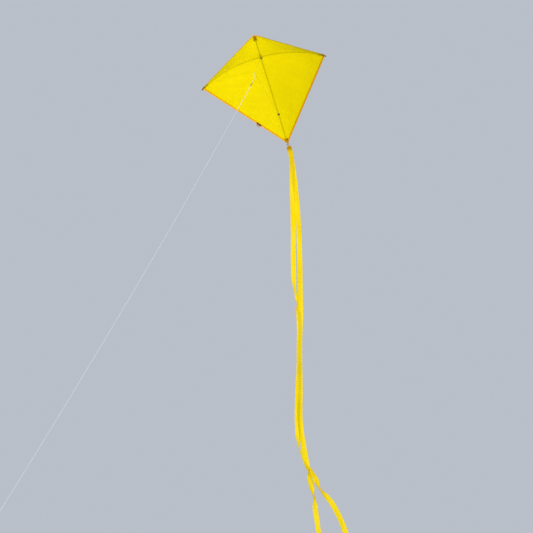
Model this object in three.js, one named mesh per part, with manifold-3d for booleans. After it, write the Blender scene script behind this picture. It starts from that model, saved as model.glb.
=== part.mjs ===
// A diamond kite with a bowed spreader, a two-leg bridle, a flying line on a snap swivel and two ribbon
// tails. Millimetres, +Z up the spine to the nose, -Y towards the flyer, +X to the flyer's right.
// The origin is on the spine's axis, where the spreader crosses behind it.
import * as THREE from "three";
import { mergeVertices } from "three/addons/utils/BufferGeometryUtils.js";
import Module from "manifold-3d";

// ---- Driving dimensions ----
const SAIL_HEIGHT = 760; // nose corner to tail corner
const SPREADER_LENGTH = 760; // along the bowed rod
const BOW_DEPTH = 142; // how far the spreader's tips stand behind its middle
const CROSSING_BELOW_NOSE = 147;
const LOWER_TIE_BELOW_NOSE = 560;
const UPPER_TIE_BELOW_CROSSING = 20;

const ROD_RADIUS = 2;
const CAP_WALL = 1;
const CAP_LENGTH = 12;
const CAP_CHAMFER = 0.6;
const CLEARANCE = 0.3; // between pieces that touch or turn
const SAIL_THICKNESS = 0.8;
const HEM_WIDTH = 9;
const HEM_THICKNESS = 1.6;
const CORNER_CUT = 3; // how far the nose and tail corners are cut back to a blunt end
const UPPER_BILLOW = 5; // how far the cloth bellies back in the upper panels
const LOWER_BILLOW = 13;
const CORNER_FLATNESS = 0.03; // share of the way from a corner to the spreader over which the bow fades
const PATCH_THICKNESS = 0.7;
const POCKET_LENGTH = 42;
const POCKET_HALF_WIDTH = 11;
const SPINE_END_SETBACK = 22; // from a sail corner to the end of the spine
const SPINE_POCKET_SHUT = 14; // from a corner to where the channel has come down to the cloth
const POCKET_FOOT = 2; // flat border that is sewn down on each side of a pocket's channel
const CHANNEL_TOP = 2; // half width of the flat along a channel's top
const TIP_OVERHANG = 10; // how far a spreader cap stands out of the sail's tip
const TIP_FOLD = 1.6; // the cloth folds back round the rod at the tips, so it stands this much further off

const CONNECTOR_WALL = 1.5;
const CONNECTOR_HALF_HEIGHT = 11;
const CONNECTOR_HALF_WIDTH = 10;
const CONNECTOR_PAD = 12; // side of the flat pad on the connector's back
const PAD_PROUD = 0.6; // how far the pad stands out of the round sleeve
const BOW_ROOM = 0.1; // the spreader's bore is this much wider, because the rod in it is bowed

const BRIDLE_RADIUS = 0.5;
const HITCH_RADIUS = 0.6;
const BRIDLE_KNOT_RADIUS = 1.5;
const TOW_KNOT_RADIUS = 2.6;
const TOW_POINT = new THREE.Vector3(-67, -206, -270);
const EYELET_HOLE = 3.2;
const EYELET_FLANGE = 6.2;
const EYELET_WALL = 0.5;
const EYELET_THICKNESS = 0.6;
const EYELET_GAP = 0.6; // the cloth curves a little between the flanges

const LINE_RADIUS = 0.9;
const LINE_ROUTE = [
  [-112, -207, -352],
  [-224, -298, -562],
  [-336, -389, -771],
  [-448, -481, -979],
  [-559, -572, -1185],
  [-671, -663, -1391],
  [-783, -754, -1595],
  [-895, -846, -1798],
  [-1007, -937, -2000],
  [-1119, -1028, -2201],
  [-1231, -1119, -2400],
  [-1342, -1210, -2599],
  [-1454, -1302, -2797],
  [-1566, -1393, -2993],
  [-1678, -1484, -3188],
];
const HAND_LOOP_LENGTH = 120;
const HAND_LOOP_WIDTH = 52;
const LINE_KNOT_RADIUS = 2;
const LINE_KNOT_LENGTH = 8;
const LINE_KNOT_LOOP = 4; // how far the knot's loop stands out of its turns
const LINE_KNOT_LOOP_HALF_WIDTH = 2.1;
const HAND_LOOP_KNOT_LENGTH = 10;

const CLIP_WIRE = 0.6;
const EYE_RADIUS = 2.4; // middle of the wire
const BARREL_RADIUS = 2.6;
const BARREL_LENGTH = 9;
const BARREL_NECK = 0.6; // share of the barrel's radius left at its ends
const STEM_BELOW_BARREL = 1;
const STEM_RADIUS = 0.7;
const HOOK_LENGTH = 20;
const HOOK_HALF_WIDTH = 3.6;
const SHANK_RADIUS = 1.3;
const SHANK_LENGTH = 2.2;
const GATE_INSET = 0.6; // the gate lies this much inside the hook's width
const GATE_HUB_RADIUS = 0.9;
const GATE_PIVOT_HEIGHT = 3.2; // above the hook's base
const GATE_TOP_SHARE = 0.74; // of the hook's length

const TAB_WIDTH = 10;
const TAB_LENGTH = 26;
const LINK_BELOW_CORNER = 5; // from the tail corner down to the link's top bar
const WEBBING_WALL = 0.9;
const LINK_WIRE = 0.7;
const LINK_HALF_WIDTH = 7.6; // middle of the wire
const LINK_HEIGHT = 11;
const HEADER_WIDTH = 27;
const HEADER_LENGTH = 34;
const HEADER_THICKNESS = 2.4;
const STREAMER_WIDTH = 25;
const STREAMER_THICKNESS = 1.2;
const STREAMER_LAP = 12; // how far a streamer is sewn over the header
const SIDES = [["left", -1], ["right", 1]];
const OVERSHOOT = 1; // how far a cutting tool runs past what it cuts

// The middle of each ribbon below the header: across, depth and height.
const LEFT_STREAMER_ROUTE = [
  [-43, 4, -877],
  [-89, 16, -1084],
  [-138, 26, -1290],
  [-172, 30, -1440],
  [-198, 30, -1610],
  [-272, 24, -1898],
  [-317, 16, -2068],
  [-356, 10, -2231],
  [-380, 8, -2371],
  [-366, 12, -2462],
  [-346, 22, -2533],
  [-336, 28, -2600],
  [-305, 30, -2680],
  [-286, 26, -2780],
  [-281, 20, -2890],
  [-294, 16, -3010],
  [-318, 14, -3130],
  [-334, 14, -3235],
];
const RIGHT_STREAMER_ROUTE = [
  [-25, -16, -870],
  [-62, -24, -1093],
  [-106, -28, -1302],
  [-152, -28, -1500],
  [-200, -26, -1700],
  [-256, -24, -1904],
  [-296, -26, -2076],
  [-336, -32, -2237],
  [-356, -36, -2379],
  [-367, -34, -2518],
  [-377, -28, -2661],
  [-391, -26, -2770],
  [-404, -28, -2890],
  [-412, -30, -3010],
  [-416, -30, -3130],
  [-418, -30, -3215],
];

const EDGE_TAB_PLACE = 0.67; // share of the lower left edge, from the tip
const EDGE_TAB_LENGTH = 30;
const EDGE_TAB_INSIDE = 7;
const EDGE_TAB_OUTSIDE = 11;

// ---- Sizes that follow ----
const CAP_RADIUS = ROD_RADIUS + CLEARANCE + CAP_WALL;
const BORE_RADIUS = ROD_RADIUS + CLEARANCE;
const CONNECTOR_RADIUS = BORE_RADIUS + CONNECTOR_WALL;
const SPREADER_BEHIND = 2 * BORE_RADIUS + 0.8; // spine axis to spreader axis at the crossing
const SAIL_AHEAD = Math.max(CONNECTOR_RADIUS, CAP_RADIUS) + CLEARANCE + SAIL_THICKNESS / 2;
const TAIL_BELOW_CROSSING = SAIL_HEIGHT - CROSSING_BELOW_NOSE;
const LOWER_TIE_Z = CROSSING_BELOW_NOSE - LOWER_TIE_BELOW_NOSE;
const UPPER_TIE_Z = -UPPER_TIE_BELOW_CROSSING;
const SAIL_HALF_SPAN = SPREADER_LENGTH / 2 - TIP_OVERHANG; // along the cloth

const wasm = await Module();
wasm.setup();

// ---- Materials ----
function finish(color, roughness, metalness = 0) {
  return new THREE.MeshStandardMaterial({ color, roughness, metalness });
}
const RIPSTOP = finish(0xf0e100, 0.55);
const HEM_CLOTH = finish(0xffc800, 0.6);
const PATCH_CLOTH = finish(0xd9b400, 0.7);
const RIBBON = finish(0xf5d400, 0.5);
const WEBBING = finish(0xe0a800, 0.8);
const FIBREGLASS = finish(0x1c1c1c, 0.4);
const VINYL = finish(0x3a2a18, 0.6);
const NICKEL = finish(0x9aa0a4, 0.3, 1);
const DARK_STEEL = finish(0x3b342c, 0.35, 1);
const BRIDLE_CORD = finish(0xe8e2c8, 0.8);
const LINE_CORD = finish(0xf6f6f2, 0.7);
const TAB_CLOTH = finish(0x6b4a1c, 0.8);

// ---- Making closed solids ----
const part = new THREE.Group();

function add(name, geometry, material, parent = part) {
  const mesh = new THREE.Mesh(geometry, material);
  mesh.name = name;
  parent.add(mesh);
  return mesh;
}

function toSolid(geometry) {
  const bare = geometry.clone();
  bare.deleteAttribute("normal");
  bare.deleteAttribute("uv");
  const merged = mergeVertices(bare, 1e-4);
  return new wasm.Manifold(
    new wasm.Mesh({
      numProp: 3,
      vertProperties: new Float32Array(merged.attributes.position.array),
      triVerts: new Uint32Array(merged.index.array),
    }),
  );
}

function toGeometry(solid) {
  const mesh = solid.getMesh();
  const geometry = new THREE.BufferGeometry();
  geometry.setAttribute("position", new THREE.BufferAttribute(mesh.vertProperties, 3));
  geometry.setIndex(new THREE.BufferAttribute(mesh.triVerts, 1));
  geometry.computeVertexNormals();
  return geometry;
}

function join(...geometries) {
  return toGeometry(geometries.map(toSolid).reduce((a, b) => a.add(b)));
}

function cut(geometry, ...tools) {
  return toGeometry(tools.map(toSolid).reduce((a, b) => a.subtract(b), toSolid(geometry)));
}

// A cylinder between two points.
function rod(start, end, radius, sides = 12) {
  const along = new THREE.Vector3().subVectors(end, start);
  const geometry = new THREE.CylinderGeometry(radius, radius, along.length(), sides);
  const turn = new THREE.Quaternion().setFromUnitVectors(
    new THREE.Vector3(0, 1, 0),
    along.clone().normalize(),
  );
  geometry.applyQuaternion(turn);
  const middle = new THREE.Vector3().addVectors(start, end).multiplyScalar(0.5);
  return geometry.translate(middle.x, middle.y, middle.z);
}

function circle(radius, sides) {
  const points = [];
  for (let i = 0; i < sides; i++) {
    const angle = (2 * Math.PI * i) / sides;
    points.push(new THREE.Vector2(radius * Math.cos(angle), radius * Math.sin(angle)));
  }
  return new THREE.Shape(points);
}

// A round tube along a smooth open curve, closed at both ends.
function tube(points, radius, steps, sides = 8) {
  return new THREE.ExtrudeGeometry(circle(radius, sides), {
    steps,
    bevelEnabled: false,
    extrudePath: new THREE.CatmullRomCurve3(points),
  });
}

// A round tube along a smooth closed curve.
function ring(points, radius, steps, sides = 8) {
  return new THREE.TubeGeometry(new THREE.CatmullRomCurve3(points, true), steps, radius, sides, true);
}

function ball(centre, radius, sides = 12) {
  return new THREE.SphereGeometry(radius, sides, sides - 2).translate(centre.x, centre.y, centre.z);
}

// A closed solid between two grids of points, front[i][j] and back[i][j], with walls round the border.
function slab(front, back) {
  const rows = front.length;
  const columns = front[0].length;
  const positions = [...front.flat(), ...back.flat()].flatMap((p) => [p.x, p.y, p.z]);
  const layer = rows * columns;
  const index = [];
  const quad = (a, b, c, d) => index.push(a, b, c, a, c, d);
  const at = (i, j) => i * columns + j;
  for (let i = 0; i < rows - 1; i++)
    for (let j = 0; j < columns - 1; j++) {
      quad(at(i, j), at(i, j + 1), at(i + 1, j + 1), at(i + 1, j));
      quad(layer + at(i, j), layer + at(i + 1, j), layer + at(i + 1, j + 1), layer + at(i, j + 1));
    }
  for (let i = 0; i < rows - 1; i++) {
    quad(at(i, 0), at(i + 1, 0), layer + at(i + 1, 0), layer + at(i, 0));
    quad(at(i + 1, columns - 1), at(i, columns - 1), layer + at(i, columns - 1), layer + at(i + 1, columns - 1));
  }
  for (let j = 0; j < columns - 1; j++) {
    quad(at(0, j + 1), at(0, j), layer + at(0, j), layer + at(0, j + 1));
    quad(at(rows - 1, j), at(rows - 1, j + 1), layer + at(rows - 1, j + 1), layer + at(rows - 1, j));
  }
  if (volume(positions, index) < 0)
    for (let k = 0; k < index.length; k += 3) [index[k], index[k + 1]] = [index[k + 1], index[k]];
  const geometry = new THREE.BufferGeometry();
  geometry.setAttribute("position", new THREE.Float32BufferAttribute(positions, 3));
  geometry.setIndex(index);
  geometry.computeVertexNormals();
  return geometry;
}

function volume(positions, index) {
  const corner = (k) => new THREE.Vector3().fromArray(positions, 3 * index[k]);
  let sum = 0;
  for (let k = 0; k < index.length; k += 3)
    sum += corner(k).dot(corner(k + 1).cross(corner(k + 2)));
  return sum / 6;
}

// ---- The bowed sail surface ----
// The half angle of an arc from its length and its depth.
function arcHalfAngle(length, depth) {
  let low = 0.01;
  let high = 1.5;
  for (let i = 0; i < 60; i++) {
    const middle = (low + high) / 2;
    if ((1 - Math.cos(middle)) / (2 * middle) < depth / length) low = middle;
    else high = middle;
  }
  return low;
}
const BOW_ANGLE = arcHalfAngle(SPREADER_LENGTH, BOW_DEPTH);
const BOW_RADIUS = SPREADER_LENGTH / (2 * BOW_ANGLE);

function onSpreader(u) {
  const angle = u / BOW_RADIUS;
  return new THREE.Vector3(
    BOW_RADIUS * Math.sin(angle),
    SPREADER_BEHIND + BOW_RADIUS * (1 - Math.cos(angle)),
    0,
  );
}

// The sail runs over an arc of its own: clear of the connector at the spine and of the caps at the tips.
const TIP_STANDOFF = CAP_RADIUS + CLEARANCE + HEM_THICKNESS / 2 + TIP_FOLD;
const TIP_ANGLE = SAIL_HALF_SPAN / BOW_RADIUS;
const SAIL_TIP = onSpreader(SAIL_HALF_SPAN).add(
  new THREE.Vector3(Math.sin(TIP_ANGLE), -Math.cos(TIP_ANGLE), 0).multiplyScalar(TIP_STANDOFF),
);
const SAIL_BOW_ANGLE = 2 * Math.atan2(SAIL_TIP.y + SAIL_AHEAD, SAIL_TIP.x);
const SAIL_BOW_RADIUS = SAIL_TIP.x / Math.sin(SAIL_BOW_ANGLE);

// The cloth's middle surface at u along the spreader's direction and height z.
function onSail(u, z) {
  const reach = z > 0 ? 1 - z / CROSSING_BELOW_NOSE : 1 + z / TAIL_BELOW_CROSSING;
  const k = Math.max(reach, 1e-4);
  const flat = (k * (1 + CORNER_FLATNESS)) / (k + CORNER_FLATNESS); // corners lie flat on the spine
  const angle = (u / k / SAIL_HALF_SPAN) * SAIL_BOW_ANGLE;
  const side = Math.abs(u) / SAIL_HALF_SPAN;
  const end = 1 - k;
  const belly = Math.max(0, 27 * side * end * (1 - side - end)) ** 2;
  const billow = belly * (z > 0 ? UPPER_BILLOW : LOWER_BILLOW);
  return new THREE.Vector3(
    k * SAIL_BOW_RADIUS * Math.sin(angle),
    -SAIL_AHEAD + flat * k * SAIL_BOW_RADIUS * (1 - Math.cos(angle)) + billow,
    z,
  );
}

// The surface's direction to the back at a point. Close to the nose or the tail it is taken a little
// further out on the same line.
function sailNormal(u, z) {
  const corner = z > 0 ? CROSSING_BELOW_NOSE : -TAIL_BELOW_CROSSING;
  const k = 1 - z / corner;
  const out = Math.max(k, 0.03) / Math.max(k, 1e-4);
  const farU = u * out;
  const farZ = corner * (1 - k * out);
  const step = 0.5;
  const across = onSail(farU + step, farZ).sub(onSail(farU - step, farZ));
  const up = onSail(farU, farZ + step).sub(onSail(farU, farZ - step));
  return up.cross(across).normalize();
}

// The direction to the back at the spreader, between those of the upper and the lower panel, which meet
// there in a crease.
function overSpreader(u) {
  const angle = (u / SAIL_HALF_SPAN) * SAIL_BOW_ANGLE;
  return new THREE.Vector3(-Math.sin(angle), Math.cos(angle), 0);
}

// A sheet of cloth on the sail: place(i, j) gives [u, z, height behind the middle surface], which is
// negative in front of it, and direction(u, z) is the way that the height is measured.
function sheet(rows, columns, thickness, place, direction = sailNormal) {
  const face = (side) => {
    const grid = [];
    for (let i = 0; i <= rows; i++) {
      grid.push([]);
      for (let j = 0; j <= columns; j++) {
        const [u, z, height] = place(i / rows, j / columns);
        const offset = height + (side * thickness) / 2;
        grid[i].push(onSail(u, z).addScaledVector(direction(u, z), offset));
      }
    }
    return grid;
  };
  return slab(face(-1), face(1));
}

const mix = (a, b, t) => a + (b - a) * t;
const CORNER_PACKING = 1.6; // rows of a sheet lie closer together towards the nose and the tail

// The outline moved in by a distance: its two lines are u/half + z/top = upper and u/half - z/low = lower.
function inset(distance) {
  const upper = 1 - distance * Math.hypot(1 / SAIL_HALF_SPAN, 1 / CROSSING_BELOW_NOSE);
  const lower = 1 - distance * Math.hypot(1 / SAIL_HALF_SPAN, 1 / TAIL_BELOW_CROSSING);
  const tipZ = (upper - lower) / (1 / CROSSING_BELOW_NOSE + 1 / TAIL_BELOW_CROSSING);
  return {
    top: upper * CROSSING_BELOW_NOSE,
    bottom: -lower * TAIL_BELOW_CROSSING,
    tipZ,
    tipU: SAIL_HALF_SPAN * (upper - tipZ / CROSSING_BELOW_NOSE),
  };
}

function sail() {
  const edge = inset(HEM_WIDTH + CLEARANCE);
  const rows = [
    ...[0, 1, 2, 3, 4, 5, 6, 7].map((i) => mix(edge.top - CORNER_CUT, 0, (i / 8) ** CORNER_PACKING)),
    0,
    edge.tipZ,
    ...[1, 2, 3, 4, 5, 6, 7, 8, 9, 10, 11, 12].map((i) =>
      mix(edge.bottom + CORNER_CUT, edge.tipZ, (1 - i / 12) ** CORNER_PACKING),
    ),
  ];
  const halfWidth = (z) =>
    z > edge.tipZ
      ? (edge.tipU * (edge.top - z)) / (edge.top - edge.tipZ)
      : (edge.tipU * (z - edge.bottom)) / (edge.tipZ - edge.bottom);
  const cloth = sheet(rows.length - 1, 24, SAIL_THICKNESS, (i, j) => {
    const z = rows[Math.round(i * (rows.length - 1))];
    return [halfWidth(z) * (2 * j - 1), z, 0];
  });
  return cut(cloth, ...[UPPER_TIE_Z, LOWER_TIE_Z].map(tieHole));
}

function tieHole(z) {
  const radius = EYELET_HOLE + EYELET_WALL + CLEARANCE;
  const reach = SAIL_THICKNESS + OVERSHOOT;
  return rod(
    new THREE.Vector3(0, -SAIL_AHEAD - reach, z),
    new THREE.Vector3(0, -SAIL_AHEAD + reach, z),
    radius,
    20,
  );
}
add("sail", sail(), RIPSTOP);

// A hem along one edge, from the blunt corner on the spine to the mitre at the spreader's tip.
function hem(side, upper) {
  const inner = inset(HEM_WIDTH);
  const away = upper ? 1 : -1;
  const corner = upper ? CROSSING_BELOW_NOSE : TAIL_BELOW_CROSSING;
  const innerCorner = upper ? inner.top : -inner.bottom;
  const halfGap = CLEARANCE / 2;
  const rows = 20;
  return sheet(rows, 2, HEM_THICKNESS, (i, j) => {
    if (i === 0) return [side * halfGap, away * mix(corner - CORNER_CUT, innerCorner - halfGap, j), 0];
    const along = ((i * rows - 1) / (rows - 1)) ** CORNER_PACKING;
    const startU = mix((CORNER_CUT * SAIL_HALF_SPAN) / corner, halfGap * 2, j);
    const startZ = mix(corner - CORNER_CUT, innerCorner - (halfGap * 2 * innerCorner) / inner.tipU, j);
    const tipU = mix(SAIL_HALF_SPAN, inner.tipU, j);
    const tipZ = mix(0, inner.tipZ, j) + away * halfGap;
    return [side * mix(startU, tipU, along), mix(away * startZ, tipZ, along), 0];
  });
}
for (const [name, side] of SIDES) {
  add(`hem_upper_${name}`, hem(side, true), HEM_CLOTH);
  add(`hem_lower_${name}`, hem(side, false), HEM_CLOTH);
}

// ---- Spars ----
const SPINE_TOP = CROSSING_BELOW_NOSE - SPINE_END_SETBACK;
const SPINE_BOTTOM = -TAIL_BELOW_CROSSING + SPINE_END_SETBACK;
const ROD_END = CAP_WALL + CLEARANCE; // a rod stops this short of its cap's outer end
add(
  "spine_rod",
  rod(
    new THREE.Vector3(0, 0, SPINE_BOTTOM + ROD_END),
    new THREE.Vector3(0, 0, SPINE_TOP - ROD_END),
    ROD_RADIUS,
    16,
  ),
  FIBREGLASS,
);

function spreaderPoints(from, to, count) {
  const points = [];
  for (let i = 0; i <= count; i++) points.push(onSpreader(mix(from, to, i / count)));
  return points;
}
const SPREADER_END = SPREADER_LENGTH / 2;
add(
  "spreader_rod",
  tube(spreaderPoints(ROD_END - SPREADER_END, SPREADER_END - ROD_END, 24), ROD_RADIUS, 40, 8),
  FIBREGLASS,
);

// A soft cap over a rod's end: tip is the cap's outer end, and inward points along the rod.
function endCap(tip, inward) {
  const profile = [
    [0, 0],
    [CAP_RADIUS - CAP_CHAMFER, 0],
    [CAP_RADIUS, CAP_CHAMFER],
    [CAP_RADIUS, CAP_LENGTH],
    [BORE_RADIUS, CAP_LENGTH],
    [BORE_RADIUS, CAP_WALL],
    [0, CAP_WALL],
  ].map(([r, h]) => new THREE.Vector2(r, h));
  const geometry = new THREE.LatheGeometry(profile, 16);
  geometry.applyQuaternion(new THREE.Quaternion().setFromUnitVectors(new THREE.Vector3(0, 1, 0), inward));
  return geometry.translate(tip.x, tip.y, tip.z);
}
add("nose_cap", endCap(new THREE.Vector3(0, 0, SPINE_TOP), new THREE.Vector3(0, 0, -1)), VINYL);
add("tail_cap", endCap(new THREE.Vector3(0, 0, SPINE_BOTTOM), new THREE.Vector3(0, 0, 1)), VINYL);
for (const [name, side] of SIDES) {
  const tip = onSpreader(side * SPREADER_END);
  const inward = onSpreader(side * (SPREADER_END - CAP_LENGTH)).sub(tip).normalize();
  add(`${name}_tip_cap`, endCap(tip, inward), VINYL);
}

function crossConnector() {
  const z = CONNECTOR_HALF_HEIGHT;
  const x = CONNECTOR_HALF_WIDTH;
  const y = SPREADER_BEHIND;
  const pad = new THREE.BoxGeometry(CONNECTOR_PAD, CONNECTOR_RADIUS, CONNECTOR_PAD);
  pad.translate(0, y + CONNECTOR_RADIUS / 2 + PAD_PROUD, 0);
  const body = join(
    rod(new THREE.Vector3(0, 0, -z), new THREE.Vector3(0, 0, z), CONNECTOR_RADIUS, 20),
    rod(new THREE.Vector3(-x, y, 0), new THREE.Vector3(x, y, 0), CONNECTOR_RADIUS, 20),
    pad,
  );
  return cut(
    body,
    rod(new THREE.Vector3(0, 0, -z - OVERSHOOT), new THREE.Vector3(0, 0, z + OVERSHOOT), BORE_RADIUS, 20),
    rod(
      new THREE.Vector3(-x - OVERSHOOT, y, 0),
      new THREE.Vector3(x + OVERSHOOT, y, 0),
      BORE_RADIUS + BOW_ROOM,
      20,
    ),
  );
}
add("cross_connector", crossConnector(), VINYL);

// ---- Pockets: a patch sewn on the sail's back with a raised channel over the cap ----
const PATCH_HEIGHT = HEM_THICKNESS / 2 + 2 * CLEARANCE + PATCH_THICKNESS / 2;

// How far the channel stands up, at a distance across from a rod whose axis is some way behind the cloth.
function channel(across, axisHeight) {
  const top = axisHeight + CAP_RADIUS + 2 * CLEARANCE + PATCH_THICKNESS / 2 - PATCH_HEIGHT;
  const foot = POCKET_HALF_WIDTH - POCKET_FOOT;
  const slope = (foot - Math.abs(across)) / (foot - CHANNEL_TOP);
  return top * Math.min(1, Math.max(0, slope));
}

function spinePocket(cornerZ, away) {
  const cover = SPINE_END_SETBACK - CAP_WALL - CLEARANCE; // the channel is at its full height to here
  return sheet(8, 10, PATCH_THICKNESS, (i, j) => {
    const fromCorner = mix(POCKET_LENGTH, SPINE_POCKET_SHUT, i);
    const room = (fromCorner * SAIL_HALF_SPAN) / TAIL_BELOW_CROSSING - CLEARANCE;
    const u = Math.min(POCKET_HALF_WIDTH, room) * (2 * j - 1);
    const close = Math.min(1, (fromCorner - SPINE_POCKET_SHUT) / (cover - SPINE_POCKET_SHUT));
    return [u, cornerZ - away * fromCorner, PATCH_HEIGHT + channel(u, SAIL_AHEAD) * close];
  });
}
add("nose_pocket", spinePocket(CROSSING_BELOW_NOSE, 1), PATCH_CLOTH);
add("tail_pocket", spinePocket(-TAIL_BELOW_CROSSING, -1), PATCH_CLOTH);

// At the tips the channel stays open, and the cap stands out of it.
function tipPocket(side) {
  const inner = SAIL_HALF_SPAN - POCKET_LENGTH;
  const outer = SAIL_HALF_SPAN - 1;
  return sheet(6, 10, PATCH_THICKNESS, (i, j) => {
    const u = mix(inner, outer, i);
    const above = (1 - u / SAIL_HALF_SPAN) * CROSSING_BELOW_NOSE;
    const below = (1 - u / SAIL_HALF_SPAN) * TAIL_BELOW_CROSSING;
    const low = -Math.min(POCKET_HALF_WIDTH, below);
    const high = Math.min(POCKET_HALF_WIDTH, above);
    const z = mix(low, high, j);
    const axis = onSpreader(u).distanceTo(onSail(u, 0)) + 2 * CLEARANCE;
    return [side * u, z, PATCH_HEIGHT + channel(z, axis)];
  }, overSpreader);
}
for (const [name, side] of SIDES)
  add(`${name}_tip_pocket`, tipPocket(side), PATCH_CLOTH);

// ---- Bridle ties ----
// An eyelet in the cloth: two flanges joined by a short collar.
function eyelet(z) {
  const inner = EYELET_HOLE;
  const collar = EYELET_HOLE + EYELET_WALL;
  const near = SAIL_THICKNESS / 2 + EYELET_GAP;
  const far = near + EYELET_THICKNESS;
  const profile = [
    [inner, -far],
    [EYELET_FLANGE, -far],
    [EYELET_FLANGE, -near],
    [collar, -near],
    [collar, near],
    [EYELET_FLANGE, near],
    [EYELET_FLANGE, far],
    [inner, far],
    [inner, -far],
  ].map(([r, h]) => new THREE.Vector2(r, h));
  return new THREE.LatheGeometry(profile, 16).translate(0, -SAIL_AHEAD, z);
}

// A cord loop round the spine that comes out through the eyelet.
const HITCH_FRONT = -(SAIL_AHEAD + SAIL_THICKNESS / 2 + EYELET_GAP + EYELET_THICKNESS + 2 * HITCH_RADIUS);
function hitch(z) {
  const round = ROD_RADIUS + CLEARANCE + HITCH_RADIUS;
  const narrow = EYELET_HOLE - HITCH_RADIUS - CLEARANCE;
  const half = [
    [0, round],
    [round * 0.71, round * 0.71],
    [round, 0],
    [narrow * 1.15, -round],
    [narrow * 0.95, -SAIL_AHEAD],
    [narrow * 0.6, HITCH_FRONT + 0.4],
    [0, HITCH_FRONT],
  ];
  const back = half.slice(1, -1).reverse();
  const points = [...half, ...back.map(([x, y]) => [-x, y])];
  return ring(points.map(([x, y]) => new THREE.Vector3(x, y, z)), HITCH_RADIUS, 20, 6);
}
for (const [name, z] of [["upper", UPPER_TIE_Z], ["lower", LOWER_TIE_Z]]) {
  add(`${name}_eyelet`, eyelet(z), NICKEL);
  add(`${name}_hitch`, hitch(z), BRIDLE_CORD);
}

// ---- Bridle: two legs from a knot at each hitch to the towing knot ----
const BRIDLE_AXIS_Y = HITCH_FRONT - HITCH_RADIUS - CLEARANCE - BRIDLE_KNOT_RADIUS;
function bridleLeg(z) {
  const start = new THREE.Vector3(0, BRIDLE_AXIS_Y, z);
  const towards = new THREE.Vector3().subVectors(start, TOW_POINT).normalize();
  const end = TOW_POINT.clone().addScaledVector(towards, TOW_KNOT_RADIUS + CLEARANCE);
  return join(ball(start, BRIDLE_KNOT_RADIUS, 10), rod(start, end, BRIDLE_RADIUS, 8));
}
add("bridle_upper_leg", bridleLeg(UPPER_TIE_Z), BRIDLE_CORD);
add("bridle_lower_leg", bridleLeg(LOWER_TIE_Z), BRIDLE_CORD);
add("tow_knot", ball(TOW_POINT, TOW_KNOT_RADIUS, 14), BRIDLE_CORD);

// ---- Flying line and its swivel, along the line's first stretch ----
const route = LINE_ROUTE.map((p) => new THREE.Vector3(...p));
const lineStart = route[0];
const towardsKite = new THREE.Vector3().subVectors(route[0], route[1]).normalize();
const hardware = new THREE.Group(); // its own +Z runs from the line back towards the kite
hardware.position.copy(lineStart);
hardware.quaternion.setFromUnitVectors(new THREE.Vector3(0, 0, 1), towardsKite);
part.add(hardware);
const up = (z, x = 0) => new THREE.Vector3(x, 0, z);

const KNOT_BOTTOM = CLEARANCE;
const KNOT_TOP = KNOT_BOTTOM + LINE_KNOT_LENGTH;
const LOOP_TOP = KNOT_TOP + LINE_KNOT_LOOP;
const EYE_CENTRE = LOOP_TOP - LINE_RADIUS - CLIP_WIRE - CLEARANCE + EYE_RADIUS;
const EYE_TOP = EYE_CENTRE + EYE_RADIUS;
const BARREL_BOTTOM = EYE_TOP + CLIP_WIRE + STEM_BELOW_BARREL;
const BARREL_TOP = BARREL_BOTTOM + BARREL_LENGTH;
const HOOK_BASE = BARREL_TOP + CLEARANCE;
const HOOK_CROWN = HOOK_BASE + HOOK_LENGTH;

add("flying_line", tube(route, LINE_RADIUS, 42), LINE_CORD);

// The line's knot: a wound barrel and a loop through the swivel's eye.
function lineKnot() {
  const half = LINE_KNOT_LOOP_HALF_WIDTH;
  const loop = ring(
    [
      [0, KNOT_TOP - 1],
      [half * 0.8, KNOT_TOP],
      [half, KNOT_TOP + 1.8],
      [half * 0.7, LOOP_TOP - 0.5],
      [0, LOOP_TOP],
      [-half * 0.7, LOOP_TOP - 0.5],
      [-half, KNOT_TOP + 1.8],
      [-half * 0.8, KNOT_TOP],
    ].map(([y, z]) => new THREE.Vector3(0, y, z)),
    LINE_RADIUS * 0.8,
    16,
    6,
  );
  return join(loop, rod(up(KNOT_BOTTOM), up(KNOT_TOP), LINE_KNOT_RADIUS, 14));
}
add("line_knot", lineKnot(), LINE_CORD, hardware);

function swivelEye() {
  const circlePoints = [];
  for (let i = 0; i < 12; i++) {
    const angle = (2 * Math.PI * i) / 12;
    circlePoints.push(up(EYE_CENTRE + EYE_RADIUS * Math.cos(angle), EYE_RADIUS * Math.sin(angle)));
  }
  const stem = rod(up(EYE_TOP), up(BARREL_BOTTOM + BARREL_LENGTH / 2 - 3 * CLEARANCE), STEM_RADIUS, 10);
  return join(ring(circlePoints, CLIP_WIRE, 16, 6), stem);
}
add("swivel_eye", swivelEye(), DARK_STEEL, hardware);

function swivelBarrel() {
  const bore = STEM_RADIUS + CLEARANCE;
  const profile = [
    [bore, 0],
    [BARREL_RADIUS * BARREL_NECK, 0],
    [BARREL_RADIUS, BARREL_LENGTH * 0.2],
    [BARREL_RADIUS, BARREL_LENGTH * 0.8],
    [BARREL_RADIUS * BARREL_NECK, BARREL_LENGTH],
    [0, BARREL_LENGTH],
    [0, BARREL_LENGTH / 2],
    [bore, BARREL_LENGTH / 2],
    [bore, 0],
  ].map(([r, h]) => new THREE.Vector2(r, h));
  const geometry = new THREE.LatheGeometry(profile, 16).rotateX(Math.PI / 2);
  return geometry.translate(0, 0, BARREL_BOTTOM);
}
add("swivel_barrel", swivelBarrel(), DARK_STEEL, hardware);

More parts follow.
